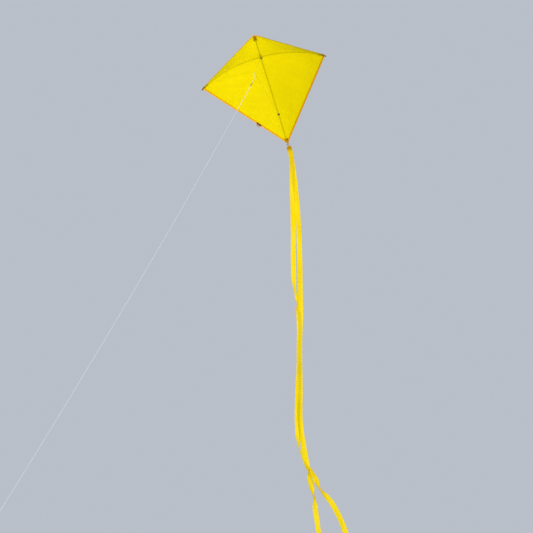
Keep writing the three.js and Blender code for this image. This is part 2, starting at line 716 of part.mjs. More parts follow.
// The hook runs up one side, over the crown and a third of the way down to the gate.
const GATE_X = -HOOK_HALF_WIDTH + GATE_INSET;
const GATE_PIVOT = HOOK_BASE + GATE_PIVOT_HEIGHT;
const GATE_TOP = HOOK_BASE + HOOK_LENGTH * GATE_TOP_SHARE;
function snapHook() {
  const w = HOOK_HALF_WIDTH;
  const wire = tube(
    [
      up(HOOK_BASE + SHANK_LENGTH / 2),
      up(HOOK_BASE + 2.4, w * 0.6),
      up(HOOK_BASE + 5, w),
      up(HOOK_BASE + HOOK_LENGTH * 0.5, w),
      up(HOOK_CROWN - 3, w * 0.92),
      up(HOOK_CROWN),
      up(HOOK_CROWN - 2.4, -w * 0.8),
      up(GATE_TOP + CLIP_WIRE + CLEARANCE, GATE_X),
    ],
    CLIP_WIRE,
    22,
    6,
  );
  return join(wire, rod(up(HOOK_BASE), up(HOOK_BASE + SHANK_LENGTH), SHANK_RADIUS, 12));
}
add("snap_hook", snapHook(), DARK_STEEL, hardware);
add(
  "snap_gate",
  join(
    ball(up(GATE_PIVOT, GATE_X), GATE_HUB_RADIUS, 10),
    rod(up(GATE_PIVOT, GATE_X), up(GATE_TOP, GATE_X), CLIP_WIRE, 8),
  ),
  DARK_STEEL,
  hardware,
);

// The pigtail: a long cord loop from the towing knot round the hook's crown.
function pigtail() {
  const local = (across, z) => hardware.localToWorld(new THREE.Vector3(0, across, z));
  const spread = CLIP_WIRE + BRIDLE_RADIUS + 2 * CLEARANCE;
  const end = local(0, HOOK_CROWN + 5);
  const towards = new THREE.Vector3().subVectors(end, TOW_POINT).normalize();
  const start = TOW_POINT.clone().addScaledVector(towards, TOW_KNOT_RADIUS + CLEARANCE + BRIDLE_RADIUS);
  const across = local(1, 0).sub(local(0, 0));
  const sag = new THREE.Vector3(3, -1, -2);
  const strand = (t, offset) =>
    start.clone().lerp(end, t).addScaledVector(sag, 4 * t * (1 - t)).addScaledVector(across, offset);
  const side = (sign) => [
    strand(0.08, sign * 1.1),
    strand(0.4, sign * 1.4),
    strand(0.8, sign * 1.7),
    local(sign * (spread + 0.3), HOOK_CROWN + 1),
    local(sign * (spread * 0.85), HOOK_CROWN - spread * 0.75),
  ];
  const points = [strand(0, 0), ...side(1), local(0, HOOK_CROWN - spread - 0.4), ...side(-1).reverse()];
  return ring(points, BRIDLE_RADIUS, 44, 6);
}
hardware.updateMatrixWorld(true);
add("pigtail", pigtail(), BRIDLE_CORD);

// The hand loop tied in the line's far end.
function handLoop() {
  const end = route.at(-1);
  const along = new THREE.Vector3().subVectors(end, route.at(-2)).normalize();
  const side = new THREE.Vector3(0, 0, 1).cross(along).normalize();
  const place = (distance, across) =>
    end.clone().addScaledVector(along, distance).addScaledVector(side, across * (HAND_LOOP_WIDTH / 2));
  const knotEnd = CLEARANCE + HAND_LOOP_KNOT_LENGTH;
  const loop = ring(
    [
      place(knotEnd - 3, 0),
      place(knotEnd + HAND_LOOP_LENGTH * 0.18, 0.45),
      place(knotEnd + HAND_LOOP_LENGTH * 0.45, 0.85),
      place(knotEnd + HAND_LOOP_LENGTH * 0.75, 0.95),
      place(knotEnd + HAND_LOOP_LENGTH, 0),
      place(knotEnd + HAND_LOOP_LENGTH * 0.75, -0.95),
      place(knotEnd + HAND_LOOP_LENGTH * 0.45, -0.85),
      place(knotEnd + HAND_LOOP_LENGTH * 0.18, -0.45),
    ],
    LINE_RADIUS,
    32,
    6,
  );
  return join(loop, rod(place(CLEARANCE, 0), place(knotEnd, 0), LINE_KNOT_RADIUS * 1.5, 14));
}
add("hand_loop", handLoop(), LINE_CORD);

// ---- Tail: a webbing tab, a wire link, a stitched header and two ribbons ----
const TAIL_TIP_Z = -TAIL_BELOW_CROSSING;
const LOOP_INNER = LINK_WIRE + 2 * CLEARANCE;
const LOOP_OUTER = LOOP_INNER + WEBBING_WALL;
const TAB_Y = -SAIL_AHEAD - HEM_THICKNESS / 2 - CLEARANCE - LOOP_OUTER - 0.4;
const LINK_TOP_Z = TAIL_TIP_Z - LINK_BELOW_CORNER;
const LINK_BOTTOM_Z = LINK_TOP_Z - LINK_HEIGHT;
const HEADER_TOP_Z = LINK_BOTTOM_Z - LOOP_INNER;
const HEADER_BOTTOM_Z = HEADER_TOP_Z - HEADER_LENGTH;

// Webbing folded round a bar that runs along X, with its sewn-together end going up or down.
function foldedWebbing(width, barZ, away, length, thickness, endWidth = width) {
  const alongX = (z, radius, w) =>
    rod(new THREE.Vector3(-w / 2, TAB_Y, z), new THREE.Vector3(w / 2, TAB_Y, z), radius, 20);
  const strap = new THREE.Shape([
    new THREE.Vector2(-width / 2, 0),
    new THREE.Vector2(width / 2, 0),
    new THREE.Vector2(endWidth / 2, (endWidth - width) / 2 + LOOP_OUTER),
    new THREE.Vector2(endWidth / 2, length),
    new THREE.Vector2(-endWidth / 2, length),
    new THREE.Vector2(-endWidth / 2, (endWidth - width) / 2 + LOOP_OUTER),
  ]);
  const flat = new THREE.ExtrudeGeometry(strap, { depth: thickness, bevelEnabled: false });
  flat.rotateX(away > 0 ? Math.PI / 2 : -Math.PI / 2);
  flat.translate(0, TAB_Y + (away > 0 ? thickness / 2 : -thickness / 2), barZ);
  return cut(join(alongX(barZ, LOOP_OUTER, width), flat), alongX(barZ, LOOP_INNER, width + 2));
}
add("tail_tab", foldedWebbing(TAB_WIDTH, LINK_TOP_Z, 1, TAB_LENGTH, 2 * WEBBING_WALL), WEBBING);

function tailLink() {
  const w = LINK_HALF_WIDTH;
  const corner = 2.4;
  const points = [
    [-w + corner, LINK_TOP_Z],
    [0, LINK_TOP_Z],
    [w - corner, LINK_TOP_Z],
    [w, LINK_TOP_Z - corner],
    [w, LINK_BOTTOM_Z + corner],
    [w - corner, LINK_BOTTOM_Z],
    [0, LINK_BOTTOM_Z],
    [-w + corner, LINK_BOTTOM_Z],
    [-w, LINK_BOTTOM_Z + corner],
    [-w, LINK_TOP_Z - corner],
  ];
  return ring(points.map(([x, z]) => new THREE.Vector3(x, TAB_Y, z)), LINK_WIRE, 32, 6);
}
add("tail_link", tailLink(), NICKEL);
add(
  "tail_header",
  foldedWebbing(TAB_WIDTH, LINK_BOTTOM_Z, -1, HEADER_LENGTH, HEADER_THICKNESS, HEADER_WIDTH),
  RIBBON,
);

// A ribbon whose face looks to the front, along a route that starts flat on the header.
function streamer(points, layer) {
  const y = TAB_Y + layer * (HEADER_THICKNESS / 2 + CLEARANCE + STREAMER_THICKNESS / 2);
  const start = [
    [0, y, HEADER_BOTTOM_Z + STREAMER_LAP],
    [0, y, HEADER_BOTTOM_Z - 4],
    [-6, y + layer * 3, HEADER_BOTTOM_Z - 60],
  ];
  const curve = new THREE.CatmullRomCurve3([...start, ...points].map((p) => new THREE.Vector3(...p)));
  const rows = 64;
  const face = (side) => {
    const grid = [];
    for (let i = 0; i <= rows; i++) {
      const centre = curve.getPoint(i / rows);
      const along = curve.getTangent(i / rows);
      const across = new THREE.Vector3(0, 1, 0).cross(along).normalize();
      const outward = new THREE.Vector3().crossVectors(along, across).normalize();
      const offset = (side * STREAMER_THICKNESS) / 2;
      grid.push(
        [-0.5, 0.5].map((t) =>
          centre.clone().addScaledVector(across, t * STREAMER_WIDTH).addScaledVector(outward, offset),
        ),
      );
    }
    return grid;
  };
  return slab(face(-1), face(1));
}
add("streamer_left", streamer(LEFT_STREAMER_ROUTE, 1), RIBBON);
add("streamer_right", streamer(RIGHT_STREAMER_ROUTE, -1), RIBBON);

// ---- The plain tab sewn over the lower left hem ----
function edgeTab() {
  const edgeLength = Math.hypot(SAIL_HALF_SPAN, TAIL_BELOW_CROSSING);
  const alongU = SAIL_HALF_SPAN / edgeLength;
  const alongZ = -TAIL_BELOW_CROSSING / edgeLength;
  const middleU = -SAIL_HALF_SPAN * (1 - EDGE_TAB_PLACE);
  const middleZ = -TAIL_BELOW_CROSSING * EDGE_TAB_PLACE;
  const height = -(HEM_THICKNESS / 2 + CLEARANCE + PATCH_THICKNESS / 2);
  return sheet(6, 4, PATCH_THICKNESS, (i, j) => {
    const along = EDGE_TAB_LENGTH * (i - 0.5);
    const out = mix(-EDGE_TAB_INSIDE, EDGE_TAB_OUTSIDE, j);
    return [middleU + along * alongU + out * alongZ, middleZ + along * alongZ - out * alongU, height];
  });
}
add("edge_tab", edgeTab(), TAB_CLOTH);

export default part;
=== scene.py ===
# %% [markdown]
# # A diamond kite in flight
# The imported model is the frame: every node sits where it belongs, in metres, with the origin on the
# spine's axis where the spreader crosses behind it, +Z up the spine, -Y towards the flyer. Everything
# below is made round it and moves with its bodies.

# %% The frame
import math

import bpy
from mathutils import Matrix, Quaternion, Vector


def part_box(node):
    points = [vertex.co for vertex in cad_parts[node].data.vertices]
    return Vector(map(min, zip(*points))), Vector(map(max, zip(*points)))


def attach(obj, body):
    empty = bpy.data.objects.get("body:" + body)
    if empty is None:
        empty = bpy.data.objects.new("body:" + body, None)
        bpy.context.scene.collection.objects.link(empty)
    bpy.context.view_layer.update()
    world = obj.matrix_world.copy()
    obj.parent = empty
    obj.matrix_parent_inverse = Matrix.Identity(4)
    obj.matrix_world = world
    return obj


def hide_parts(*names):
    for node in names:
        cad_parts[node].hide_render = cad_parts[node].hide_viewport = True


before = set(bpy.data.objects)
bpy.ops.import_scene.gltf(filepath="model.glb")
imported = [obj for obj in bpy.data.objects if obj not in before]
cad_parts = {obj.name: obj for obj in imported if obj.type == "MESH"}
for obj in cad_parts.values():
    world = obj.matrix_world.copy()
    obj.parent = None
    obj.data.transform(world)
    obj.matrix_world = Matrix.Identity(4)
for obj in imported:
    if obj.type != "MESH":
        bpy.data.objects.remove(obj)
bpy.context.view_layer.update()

MM = 0.001

# %% [markdown]
# ## The camera
# The kite flies well above and away from the flyer, so it is seen from below through a long lens: a
# narrow field of view keeps the spars and ribbons free of perspective swelling. The camera is tipped a
# little to one side, as a hand-held one is.

# %% The camera
EYE = Vector((-0.618, -10.363, -8.498))
LOOK_UP = math.radians(34.72)
LOOK_ASIDE = math.radians(1.85)
TIPPED = math.radians(16.44)
FIELD_OF_VIEW = math.radians(12)
SENSOR_MM = 36

looking = Vector((
    math.sin(LOOK_ASIDE) * math.cos(LOOK_UP),
    math.cos(LOOK_ASIDE) * math.cos(LOOK_UP),
    math.sin(LOOK_UP),
))
camera = bpy.data.objects.new("camera", bpy.data.cameras.new("camera"))
bpy.context.scene.collection.objects.link(camera)
camera.location = EYE
camera.rotation_mode = "QUATERNION"
camera.rotation_quaternion = looking.to_track_quat("-Z", "Y") @ Quaternion((0, 0, 1), -TIPPED)
camera.data.sensor_width = SENSOR_MM
camera.data.lens = SENSOR_MM / 2 / math.tan(FIELD_OF_VIEW / 2)
camera.data.clip_end = 500
bpy.context.scene.camera = camera
print("lens:", round(camera.data.lens, 1), "mm")

# %% [markdown]
# ## Smooth lines through a few points
# A cord or a ribbon has a short list of points along its middle, and a smooth line is run through them. A
# Catmull-Rom line passes through every point, and its centripetal form never loops or overshoots where
# points are unevenly spaced. The line is then walked at even steps, so that a weave drawn along it
# keeps one scale.

# %% Lines
def through(points, per_span=16):
    """A centripetal Catmull-Rom line through the points, as a list of many points."""
    inner = [Vector(p) for p in points]
    ends = [2 * inner[0] - inner[1], *inner, 2 * inner[-1] - inner[-2]]
    line = []
    for a, b, c, d in zip(ends, ends[1:], ends[2:], ends[3:]):
        t1 = (b - a).length ** 0.5
        t2 = t1 + (c - b).length ** 0.5
        t3 = t2 + (d - c).length ** 0.5
        for step in range(per_span):
            t = t1 + (t2 - t1) * step / per_span
            ab = a.lerp(b, t / t1)
            bc = b.lerp(c, (t - t1) / (t2 - t1))
            cd = c.lerp(d, (t - t2) / (t3 - t2))
            line.append(ab.lerp(bc, t / t2).lerp(bc.lerp(cd, (t - t1) / (t3 - t1)), (t - t1) / (t2 - t1)))
    return line + [inner[-1]]


def closed_through(points, per_span=16):
    """The same through a closed ring of points: the last point runs on to the first."""
    around = through([points[-1], *points, points[0]], per_span)
    return around[per_span:-1]


def length_of(line):
    return sum((b - a).length for a, b in zip(line, line[1:]))


def evenly(line, steps):
    """The same line as steps + 1 points at equal distances along it."""
    gap = length_of(line) / steps
    spaced, gone = [line[0].copy()], 0.0
    for a, b in zip(line, line[1:]):
        long = (b - a).length
        while len(spaced) < steps and gone + long >= gap * len(spaced):
            spaced.append(a.lerp(b, (gap * len(spaced) - gone) / long))
        gone += long
    return spaced + [line[-1].copy()]


def at_mm(points):
    return [Vector(p) * MM for p in points]


# %% [markdown]
# ## Finishing a piece
# A finished piece keeps its object at the origin, has its place in its mesh, wears one material and
# rides on one body. Doing that in one place keeps every piece below to its own shape.

# %% Finishing
def bare():
    """Nothing selected, nothing in edit mode."""
    if bpy.context.object and bpy.context.object.mode != "OBJECT":
        bpy.ops.object.mode_set(mode="OBJECT")
    bpy.ops.object.select_all(action="DESELECT")


def only(piece):
    bare()
    piece.select_set(True)
    bpy.context.view_layer.objects.active = piece


def from_faces(name, points, faces, uvs=None):
    """A mesh piece from points and faces, with one UV pair for each corner when uvs gives them."""
    mesh = bpy.data.meshes.new(name)
    mesh.from_pydata([tuple(p) for p in points], [], faces)
    if uvs:
        layer = mesh.uv_layers.new(name="weave")
        for loop, pair in zip(layer.data, uvs):
            loop.uv = pair
    mesh.update()
    piece = bpy.data.objects.new(name, mesh)
    bpy.context.scene.collection.objects.link(piece)
    return piece


def from_grid(name, points, marks, columns):
    """A sheet from rows of columns + 1 points, each with its mark: its place in the weave."""
    faces, uvs = [], []
    for i in range(len(points) // (columns + 1) - 1):
        for j in range(columns):
            a = i * (columns + 1) + j
            faces.append((a, a + 1, a + columns + 2, a + columns + 1))
            uvs += [marks[c] for c in faces[-1]]
    return from_faces(name, points, faces, uvs)


def settle(piece, name, material, body, slot, *stands_for, smooth=40):
    """Puts the place into the mesh, smooths gentle edges, and gives name, material and body; slot is not
    used.
    """
    only(piece)
    bpy.ops.object.transform_apply(location=True, rotation=True, scale=True)
    bpy.ops.object.shade_smooth_by_angle(angle=math.radians(smooth))
    piece.name = name
    piece.data.name = name
    piece.data.materials.clear()
    piece.data.materials.append(material)
    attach(piece, body)
    if stands_for:
        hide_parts(*stands_for)
    print(name, len(piece.data.polygons), "faces")
    return piece


def apply_modifier(piece, kind, **settings):
    only(piece)
    modifier = piece.modifiers.new(kind.lower(), kind)
    for key, value in settings.items():
        setattr(modifier, key, value)
    bpy.ops.object.modifier_apply(modifier=modifier.name)


def turn_outward(piece):
    """Merges doubled points, then turns every face out."""
    only(piece)
    bpy.ops.object.mode_set(mode="EDIT")
    bpy.ops.mesh.select_all(action="SELECT")
    bpy.ops.mesh.remove_doubles(threshold=1e-6)
    bpy.ops.mesh.normals_make_consistent(inside=False)
    bpy.ops.object.mode_set(mode="OBJECT")


# %% [markdown]
# ## Materials
# Each finish is a small tree of nodes. The cloth ones carry a weave drawn from a UV map laid out in
# metres, so the threads have one size on every piece, and a translucent share, because ripstop and
# satin let the sky through: that is why the spars show as lines on the sunlit side. Cords carry the
# slanted strands of a braid. Metals and vinyl take small scratches and moulding grain from noise on
# object coordinates.

# %% Node helpers
def tree(name):
    material = bpy.data.materials.new(name)
    material.use_nodes = True
    nodes = material.node_tree.nodes
    nodes.clear()
    return material, nodes, material.node_tree.links


def math_node(nodes, links, operation, a, b=None):
    node = nodes.new("ShaderNodeMath")
    node.operation = operation
    for socket, value in zip(node.inputs, (a, b)):
        if value is None:
            continue
        if isinstance(value, (int, float)):
            socket.default_value = value
        else:
            links.new(value, socket)
    return node.outputs[0]


def noise(nodes, links, scale, detail=3.0, source="Object", stretch=(1, 1, 1)):
    where = nodes.new("ShaderNodeTexCoord")
    mapping = nodes.new("ShaderNodeMapping")
    mapping.inputs["Scale"].default_value = stretch
    links.new(where.outputs[source], mapping.inputs["Vector"])
    node = nodes.new("ShaderNodeTexNoise")
    node.inputs["Scale"].default_value = scale
    node.inputs["Detail"].default_value = detail
    links.new(mapping.outputs[0], node.inputs["Vector"])
    return node.outputs["Fac"]


def ramp(nodes, links, factor, *stops):
    """A colour ramp: each stop is (position, colour)."""
    node = nodes.new("ShaderNodeValToRGB")
    elements = node.color_ramp.elements
    for index, (place, colour) in enumerate(stops):
        element = elements[index] if index < 2 else elements.new(place)
        element.position = place
        element.color = (*colour, 1)
    links.new(factor, node.inputs[0])
    return node.outputs["Color"]


def bump(nodes, links, height, depth):
    node = nodes.new("ShaderNodeBump")
    node.inputs["Strength"].default_value = 1.0
    node.inputs["Distance"].default_value = depth
    links.new(height, node.inputs["Height"])
    return node.outputs["Normal"]


def wave(nodes, links, along, pitch):
    """A thread's round back, from 0 to 1 and back over one pitch."""
    turned = math_node(nodes, links, "MULTIPLY", along, math.pi / pitch)
    return math_node(nodes, links, "ABSOLUTE", math_node(nodes, links, "SINE", turned))


# %% [markdown]
# ### Cloth
# A plain weave is two sets of threads at right angles. Ripstop adds a thicker thread every few
# millimetres each way, which draws a grid of small squares and stops a tear. The colour shifts a little
# over the cloth, because coating and handling are never even. A Translucent shader mixed with the
# Principled one lets the light behind come through in the cloth's own colour.

# %% Cloth
def cloth(name, colours, glow, share, thread, rough, rip=0.0, rip_line=0.0004, shine=0.0, depth=0.00005):
    """colours are the dark and light of the cloth, glow what shines through, share how much does."""
    material, nodes, links = tree(name)
    uv = nodes.new("ShaderNodeUVMap")
    uv.uv_map = "weave"
    axes = nodes.new("ShaderNodeSeparateXYZ")
    links.new(uv.outputs[0], axes.inputs[0])
    across, along = axes.outputs["X"], axes.outputs["Y"]
    weft = wave(nodes, links, across, thread)
    warp = wave(nodes, links, along, thread)
    height = math_node(nodes, links, "MAXIMUM", weft, warp)
    if rip:
        lines = []
        for axis in (across, along):
            place = math_node(nodes, links, "PINGPONG", axis, rip / 2)
            lines.append(math_node(nodes, links, "LESS_THAN", place, rip_line / 2))
        grid = math_node(nodes, links, "MAXIMUM", *lines)
        height = math_node(nodes, links, "ADD", height, math_node(nodes, links, "MULTIPLY", grid, 1.5))
    mottle = noise(nodes, links, 9.0, 4.0)
    shade = ramp(nodes, links, mottle, (0.3, colours[0]), (0.7, colours[1]))
    if rip:
        darker = nodes.new("ShaderNodeMix")
        darker.data_type = "RGBA"
        darker.blend_type = "MULTIPLY"
        links.new(math_node(nodes, links, "MULTIPLY", grid, 0.35), darker.inputs["Factor"])
        links.new(shade, darker.inputs["A"])
        darker.inputs["B"].default_value = (0.82, 0.8, 0.7, 1)
        shade = darker.outputs["Result"]
    surface = nodes.new("ShaderNodeBsdfPrincipled")
    links.new(shade, surface.inputs["Base Color"])
    rough_range = nodes.new("ShaderNodeMapRange")
    rough_range.inputs["To Min"].default_value = rough - 0.08
    rough_range.inputs["To Max"].default_value = rough + 0.08
    links.new(mottle, rough_range.inputs["Value"])
    links.new(rough_range.outputs[0], surface.inputs["Roughness"])
    surface.inputs["Specular IOR Level"].default_value = shine
    links.new(bump(nodes, links, height, depth), surface.inputs["Normal"])
    behind = nodes.new("ShaderNodeBsdfTranslucent")
    behind.inputs["Color"].default_value = (*glow, 1)
    both = nodes.new("ShaderNodeMixShader")
    both.inputs["Fac"].default_value = share
    links.new(surface.outputs[0], both.inputs[1])
    links.new(behind.outputs[0], both.inputs[2])
    output = nodes.new("ShaderNodeOutputMaterial")
    links.new(both.outputs[0], output.inputs["Surface"])
    return material


ripstop = cloth(
    "ripstop", ((0.74, 0.65, 0.0005), (0.79, 0.70, 0.0005)), (0.97, 0.86, 0.0005),
    share=0.7, thread=0.0004, rough=0.55, rip=0.005, shine=0.05, depth=0.00002,
)
# The hems are the sail's own cloth folded double; their deeper orange is painted shade for the light lost
# through the extra layers.
hem_cloth = cloth(
    "hem_cloth", ((0.95, 0.66, 0.0005), (1.0, 0.72, 0.0005)), (1.0, 0.8, 0.0005),
    share=0.65, thread=0.0004, rough=0.6, rip=0.005, depth=0.00002,
)
patch_cloth = cloth(
    "patch_cloth", ((0.5, 0.34, 0.003), (0.6, 0.42, 0.004)), (0.8, 0.58, 0.003),
    share=0.6, thread=0.0007, rough=0.7, depth=0.00006,
)
satin = cloth(
    "satin_ribbon", ((0.95, 0.78, 0.0005), (1.0, 0.84, 0.0005)), (1.0, 0.86, 0.0005),
    share=0.5, thread=0.00035, rough=0.38, shine=0.2, depth=0.00001,
)
webbing = cloth(
    "amber_webbing", ((0.75, 0.45, 0.002), (0.88, 0.56, 0.004)), (0.95, 0.6, 0.002),
    share=0.45, thread=0.0016, rough=0.75, depth=0.0003,
)
binding_tape = cloth(
    "tan_binding_tape", ((0.34, 0.2, 0.004), (0.44, 0.27, 0.006)), (0.5, 0.3, 0.004),
    share=0.4, thread=0.0009, rough=0.8, depth=0.0001,
)
tab_cloth = cloth(
    "brown_tape", ((0.10, 0.05, 0.012), (0.16, 0.08, 0.02)), (0.2, 0.1, 0.02),
    share=0.1, thread=0.0009, rough=0.8, depth=0.00015,
)
flap_cloth = cloth(
    "tan_flap", ((0.62, 0.38, 0.2), (0.75, 0.5, 0.3)), (0.7, 0.45, 0.25),
    share=0.35, thread=0.0006, rough=0.75, depth=0.0001,
)
print("cloths made")


# %% [markdown]
# ### Cord, metal, vinyl and glass fibre
# A braid is strands that run round the cord both ways. Its height is the greater of two slanted waves,
# drawn from how far along and how far round a point is.

# %% Cord
def braid(name, dark, light, pitch, strands, fuzz=0.15, rough=0.75):
    material, nodes, links = tree(name)
    uv = nodes.new("ShaderNodeUVMap")
    uv.uv_map = "weave"
    axes = nodes.new("ShaderNodeSeparateXYZ")
    links.new(uv.outputs[0], axes.inputs[0])
    long = math_node(nodes, links, "MULTIPLY", axes.outputs["Y"], 2 * math.pi / pitch)
    round_it = math_node(nodes, links, "MULTIPLY", axes.outputs["X"], 2 * math.pi * strands)
    slants = []
    for way in ("ADD", "SUBTRACT"):
        slants.append(math_node(nodes, links, "SINE", math_node(nodes, links, way, long, round_it)))
    height = math_node(nodes, links, "MAXIMUM", *slants)
    raised = math_node(nodes, links, "MULTIPLY", math_node(nodes, links, "ADD", height, 1.0), 0.5)
    surface = nodes.new("ShaderNodeBsdfPrincipled")
    links.new(ramp(nodes, links, raised, (0.1, dark), (0.8, light)), surface.inputs["Base Color"])
    surface.inputs["Roughness"].default_value = rough
    surface.inputs["Sheen Weight"].default_value = fuzz
    links.new(bump(nodes, links, raised, 0.0001), surface.inputs["Normal"])
    output = nodes.new("ShaderNodeOutputMaterial")
    links.new(surface.outputs[0], output.inputs["Surface"])
    return material


line_braid = braid("white_line", (0.72, 0.72, 0.70), (0.95, 0.95, 0.93), 0.0036, 2)
bridle_braid = braid("cream_cord", (0.70, 0.68, 0.42), (0.92, 0.9, 0.62), 0.002, 2)
straw_braid = braid("straw_cord", (0.6, 0.52, 0.003), (0.78, 0.68, 0.006), 0.002, 2, fuzz=0.0)
thread_brown = braid("brown_thread", (0.22, 0.1, 0.006), (0.4, 0.2, 0.012), 0.0008, 1, fuzz=0.0)
thread_gold = braid("gold_thread", (0.5, 0.3, 0.002), (0.75, 0.48, 0.004), 0.0008, 1)


# %% Metal, vinyl and glass fibre
def solid(
    name, dark, light, rough, metal=0.0, grain=300.0, depth=0.00003, coat=0.0, stretch=(1, 1, 1), glow=None,
):
    """glow is the colour of the light that comes through a soft plastic."""
    material, nodes, links = tree(name)
    speckle = noise(nodes, links, grain, 5.0, stretch=stretch)
    patches = noise(nodes, links, grain / 12, 2.0)
    surface = nodes.new("ShaderNodeBsdfPrincipled")
    mixed = math_node(nodes, links, "MULTIPLY", math_node(nodes, links, "ADD", speckle, patches), 0.5)
    links.new(ramp(nodes, links, mixed, (0.35, dark), (0.65, light)), surface.inputs["Base Color"])
    spread = nodes.new("ShaderNodeMapRange")
    spread.inputs["To Min"].default_value = max(0.05, rough - 0.12)
    spread.inputs["To Max"].default_value = rough + 0.12
    links.new(patches, spread.inputs["Value"])
    links.new(spread.outputs[0], surface.inputs["Roughness"])
    surface.inputs["Metallic"].default_value = metal
    surface.inputs["Coat Weight"].default_value = coat
    links.new(bump(nodes, links, speckle, depth), surface.inputs["Normal"])
    output = nodes.new("ShaderNodeOutputMaterial")
    if not glow:
        links.new(surface.outputs[0], output.inputs["Surface"])
        return material
    behind = nodes.new("ShaderNodeBsdfTranslucent")
    behind.inputs["Color"].default_value = (*glow, 1)
    both = nodes.new("ShaderNodeMixShader")
    both.inputs["Fac"].default_value = 0.5
    links.new(surface.outputs[0], both.inputs[1])
    links.new(behind.outputs[0], both.inputs[2])
    links.new(both.outputs[0], output.inputs["Surface"])
    return material


vinyl = solid(
    "amber_vinyl", (0.2, 0.12, 0.01), (0.3, 0.19, 0.018), 0.5,
    grain=900, depth=0.00004, glow=(0.7, 0.45, 0.03),
)
glass_fibre = solid(
    "glass_fibre_rod", (0.012, 0.012, 0.012), (0.03, 0.03, 0.032), 0.32, coat=0.3, stretch=(8, 8, 0.3),
)
# Nickel plate with a darker base than bright nickel: painted shade for a part that faces away from the sun.
nickel = solid("nickel_plate_painted_shade", (0.16, 0.155, 0.14), (0.3, 0.29, 0.26), 0.36, metal=1.0, grain=1500)
# Darker, brownish nickel for the eyelets: painted shade for their faces, which the sun lights only from
# behind.
eyelet_nickel_painted_shade = solid(
    "eyelet_nickel_plate_painted_shade", (0.07, 0.05, 0.03), (0.14, 0.1, 0.06), 0.5, metal=1.0, grain=1500,
)
dark_bronze = solid(
    "dark_bronze_plate", (0.09, 0.066, 0.035), (0.17, 0.13, 0.075), 0.36, metal=1.0, grain=1500,
)
print("materials:", len(bpy.data.materials))

# %% [markdown]
# ## The flying line
# The line is a thin white braid that the flyer's pull holds taut, so it runs almost straight with the
# slight sag of its own weight. It ends in the loop that goes round the flyer's hand: the same line comes
# back on itself and is tied. A tube is laid along the route, with rings turned as little as possible
# from one to the next, so the braid doesn't twist; its UV map says how far round and how far along.

# %% Tubes along a line
def tube(name, line, radius, sides=12, closed=False):
    count = len(line)
    last = count if closed else count - 1
    tangents = []
    for i in range(count):
        before = line[(i - 1) % count] if closed or i else line[0]
        after = line[(i + 1) % count] if closed or i < count - 1 else line[-1]
        tangents.append((after - before).normalized())
    aside = tangents[0].orthogonal().normalized()
    asides = []
    for tangent in tangents:
        aside = (aside - aside.dot(tangent) * tangent).normalized()
        asides.append(aside)
    miss = 0.0
    if closed:
        back = (aside - aside.dot(tangents[0]) * tangents[0]).normalized()
        miss = math.atan2(tangents[0].dot(asides[0].cross(back)), asides[0].dot(back))
    points, along = [], [0.0]
    for i in range(count):
        side = Quaternion(tangents[i], -miss * i / count) @ asides[i]
        other = tangents[i].cross(side)
        for k in range(sides):
            angle = 2 * math.pi * k / sides
            points.append(line[i] + radius * (math.cos(angle) * side + math.sin(angle) * other))
        along.append(along[-1] + (line[(i + 1) % count] - line[i]).length)
    faces, uvs = [], []
    for i in range(last):
        nxt = (i + 1) % count
        for k in range(sides):
            l = (k + 1) % sides
            faces.append((i * sides + k, i * sides + l, nxt * sides + l, nxt * sides + k))
            a, b = k / sides, (k + 1) / sides
            uvs += [(a, along[i]), (b, along[i]), (b, along[i + 1]), (a, along[i + 1])]
    if not closed:
        faces.append(tuple(reversed(range(sides))))
        faces.append(tuple((count - 1) * sides + k for k in range(sides)))
        uvs += [(0, 0)] * sides + [(0, along[count - 1])] * sides
    return from_faces(name, points, faces, uvs)


# %% The line's route
LINE_RADIUS = 0.0009
LINE_ROUTE = at_mm([
    (-112, -207, -352),
    (-224, -298, -562),
    (-336, -389, -771),
    (-448, -481, -979),
    (-559, -572, -1185),
    (-671, -663, -1391),
    (-783, -754, -1595),
    (-895, -846, -1798),
    (-1007, -937, -2000),
    (-1119, -1028, -2201),
    (-1231, -1119, -2400),
    (-1342, -1210, -2599),
    (-1454, -1302, -2797),
    (-1566, -1393, -2993),
    (-1678, -1484, -3188),
])
HAND_LOOP_LENGTH = 0.120
HAND_LOOP_HALF_WIDTH = 0.026
HAND_KNOT = (0.0003, 0.0103)  # where the knot starts and ends beyond the route's last point
LOOP_SHAPE = [(-0.02, 0.04), (0.18, 0.45), (0.45, 0.85), (0.75, 0.95), (0.93, 0.6), (1, 0)]

line_end = LINE_ROUTE[-1]
line_way = (line_end - LINE_ROUTE[-2]).normalized()
line_side = Vector((0, 0, 1)).cross(line_way).normalized()


def at_hand(beyond, across):
    return line_end + line_way * beyond + line_side * across


def loop_place(share, half_width):
    return at_hand(HAND_KNOT[1] + HAND_LOOP_LENGTH * share, HAND_LOOP_HALF_WIDTH * half_width)


hand_half = [loop_place(*shape) for shape in LOOP_SHAPE]
hand_back = [loop_place(share, -width) for share, width in reversed(LOOP_SHAPE[:-1])]
whole_line = through([*LINE_ROUTE, *hand_half, *hand_back])
flying_line = tube("flying_line", evenly(whole_line, 900), LINE_RADIUS, sides=8)
settle(flying_line, "flying_line_braid", line_braid, "line", "line_cord", "flying_line", "hand_loop")

# %% [markdown]
# The knot at the hand is the line wound round itself and drawn tight: a close coil of turns round the
# two strands. Winding a helix round the line's own direction gives each turn its place.

# %% The knot at the hand
def wound(centre, way, turns, pitch, radius, per_turn=16, ends=0.35):
    """A helix of turns round a line through centre, drawn in towards it over the end turns."""
    side = way.orthogonal().normalized()
    other = way.cross(side)
    points = []
    total = int(turns * per_turn)
    for i in range(total + 1):
        turn = i / per_turn
        close = min(1.0, min(turn, turns - turn) / 0.5)
        out = radius * (ends + (1 - ends) * close)
        angle = 2 * math.pi * turn
        along = (turn - turns / 2) * pitch
        points.append(centre + way * along + out * (math.cos(angle) * side + math.sin(angle) * other))
    return points


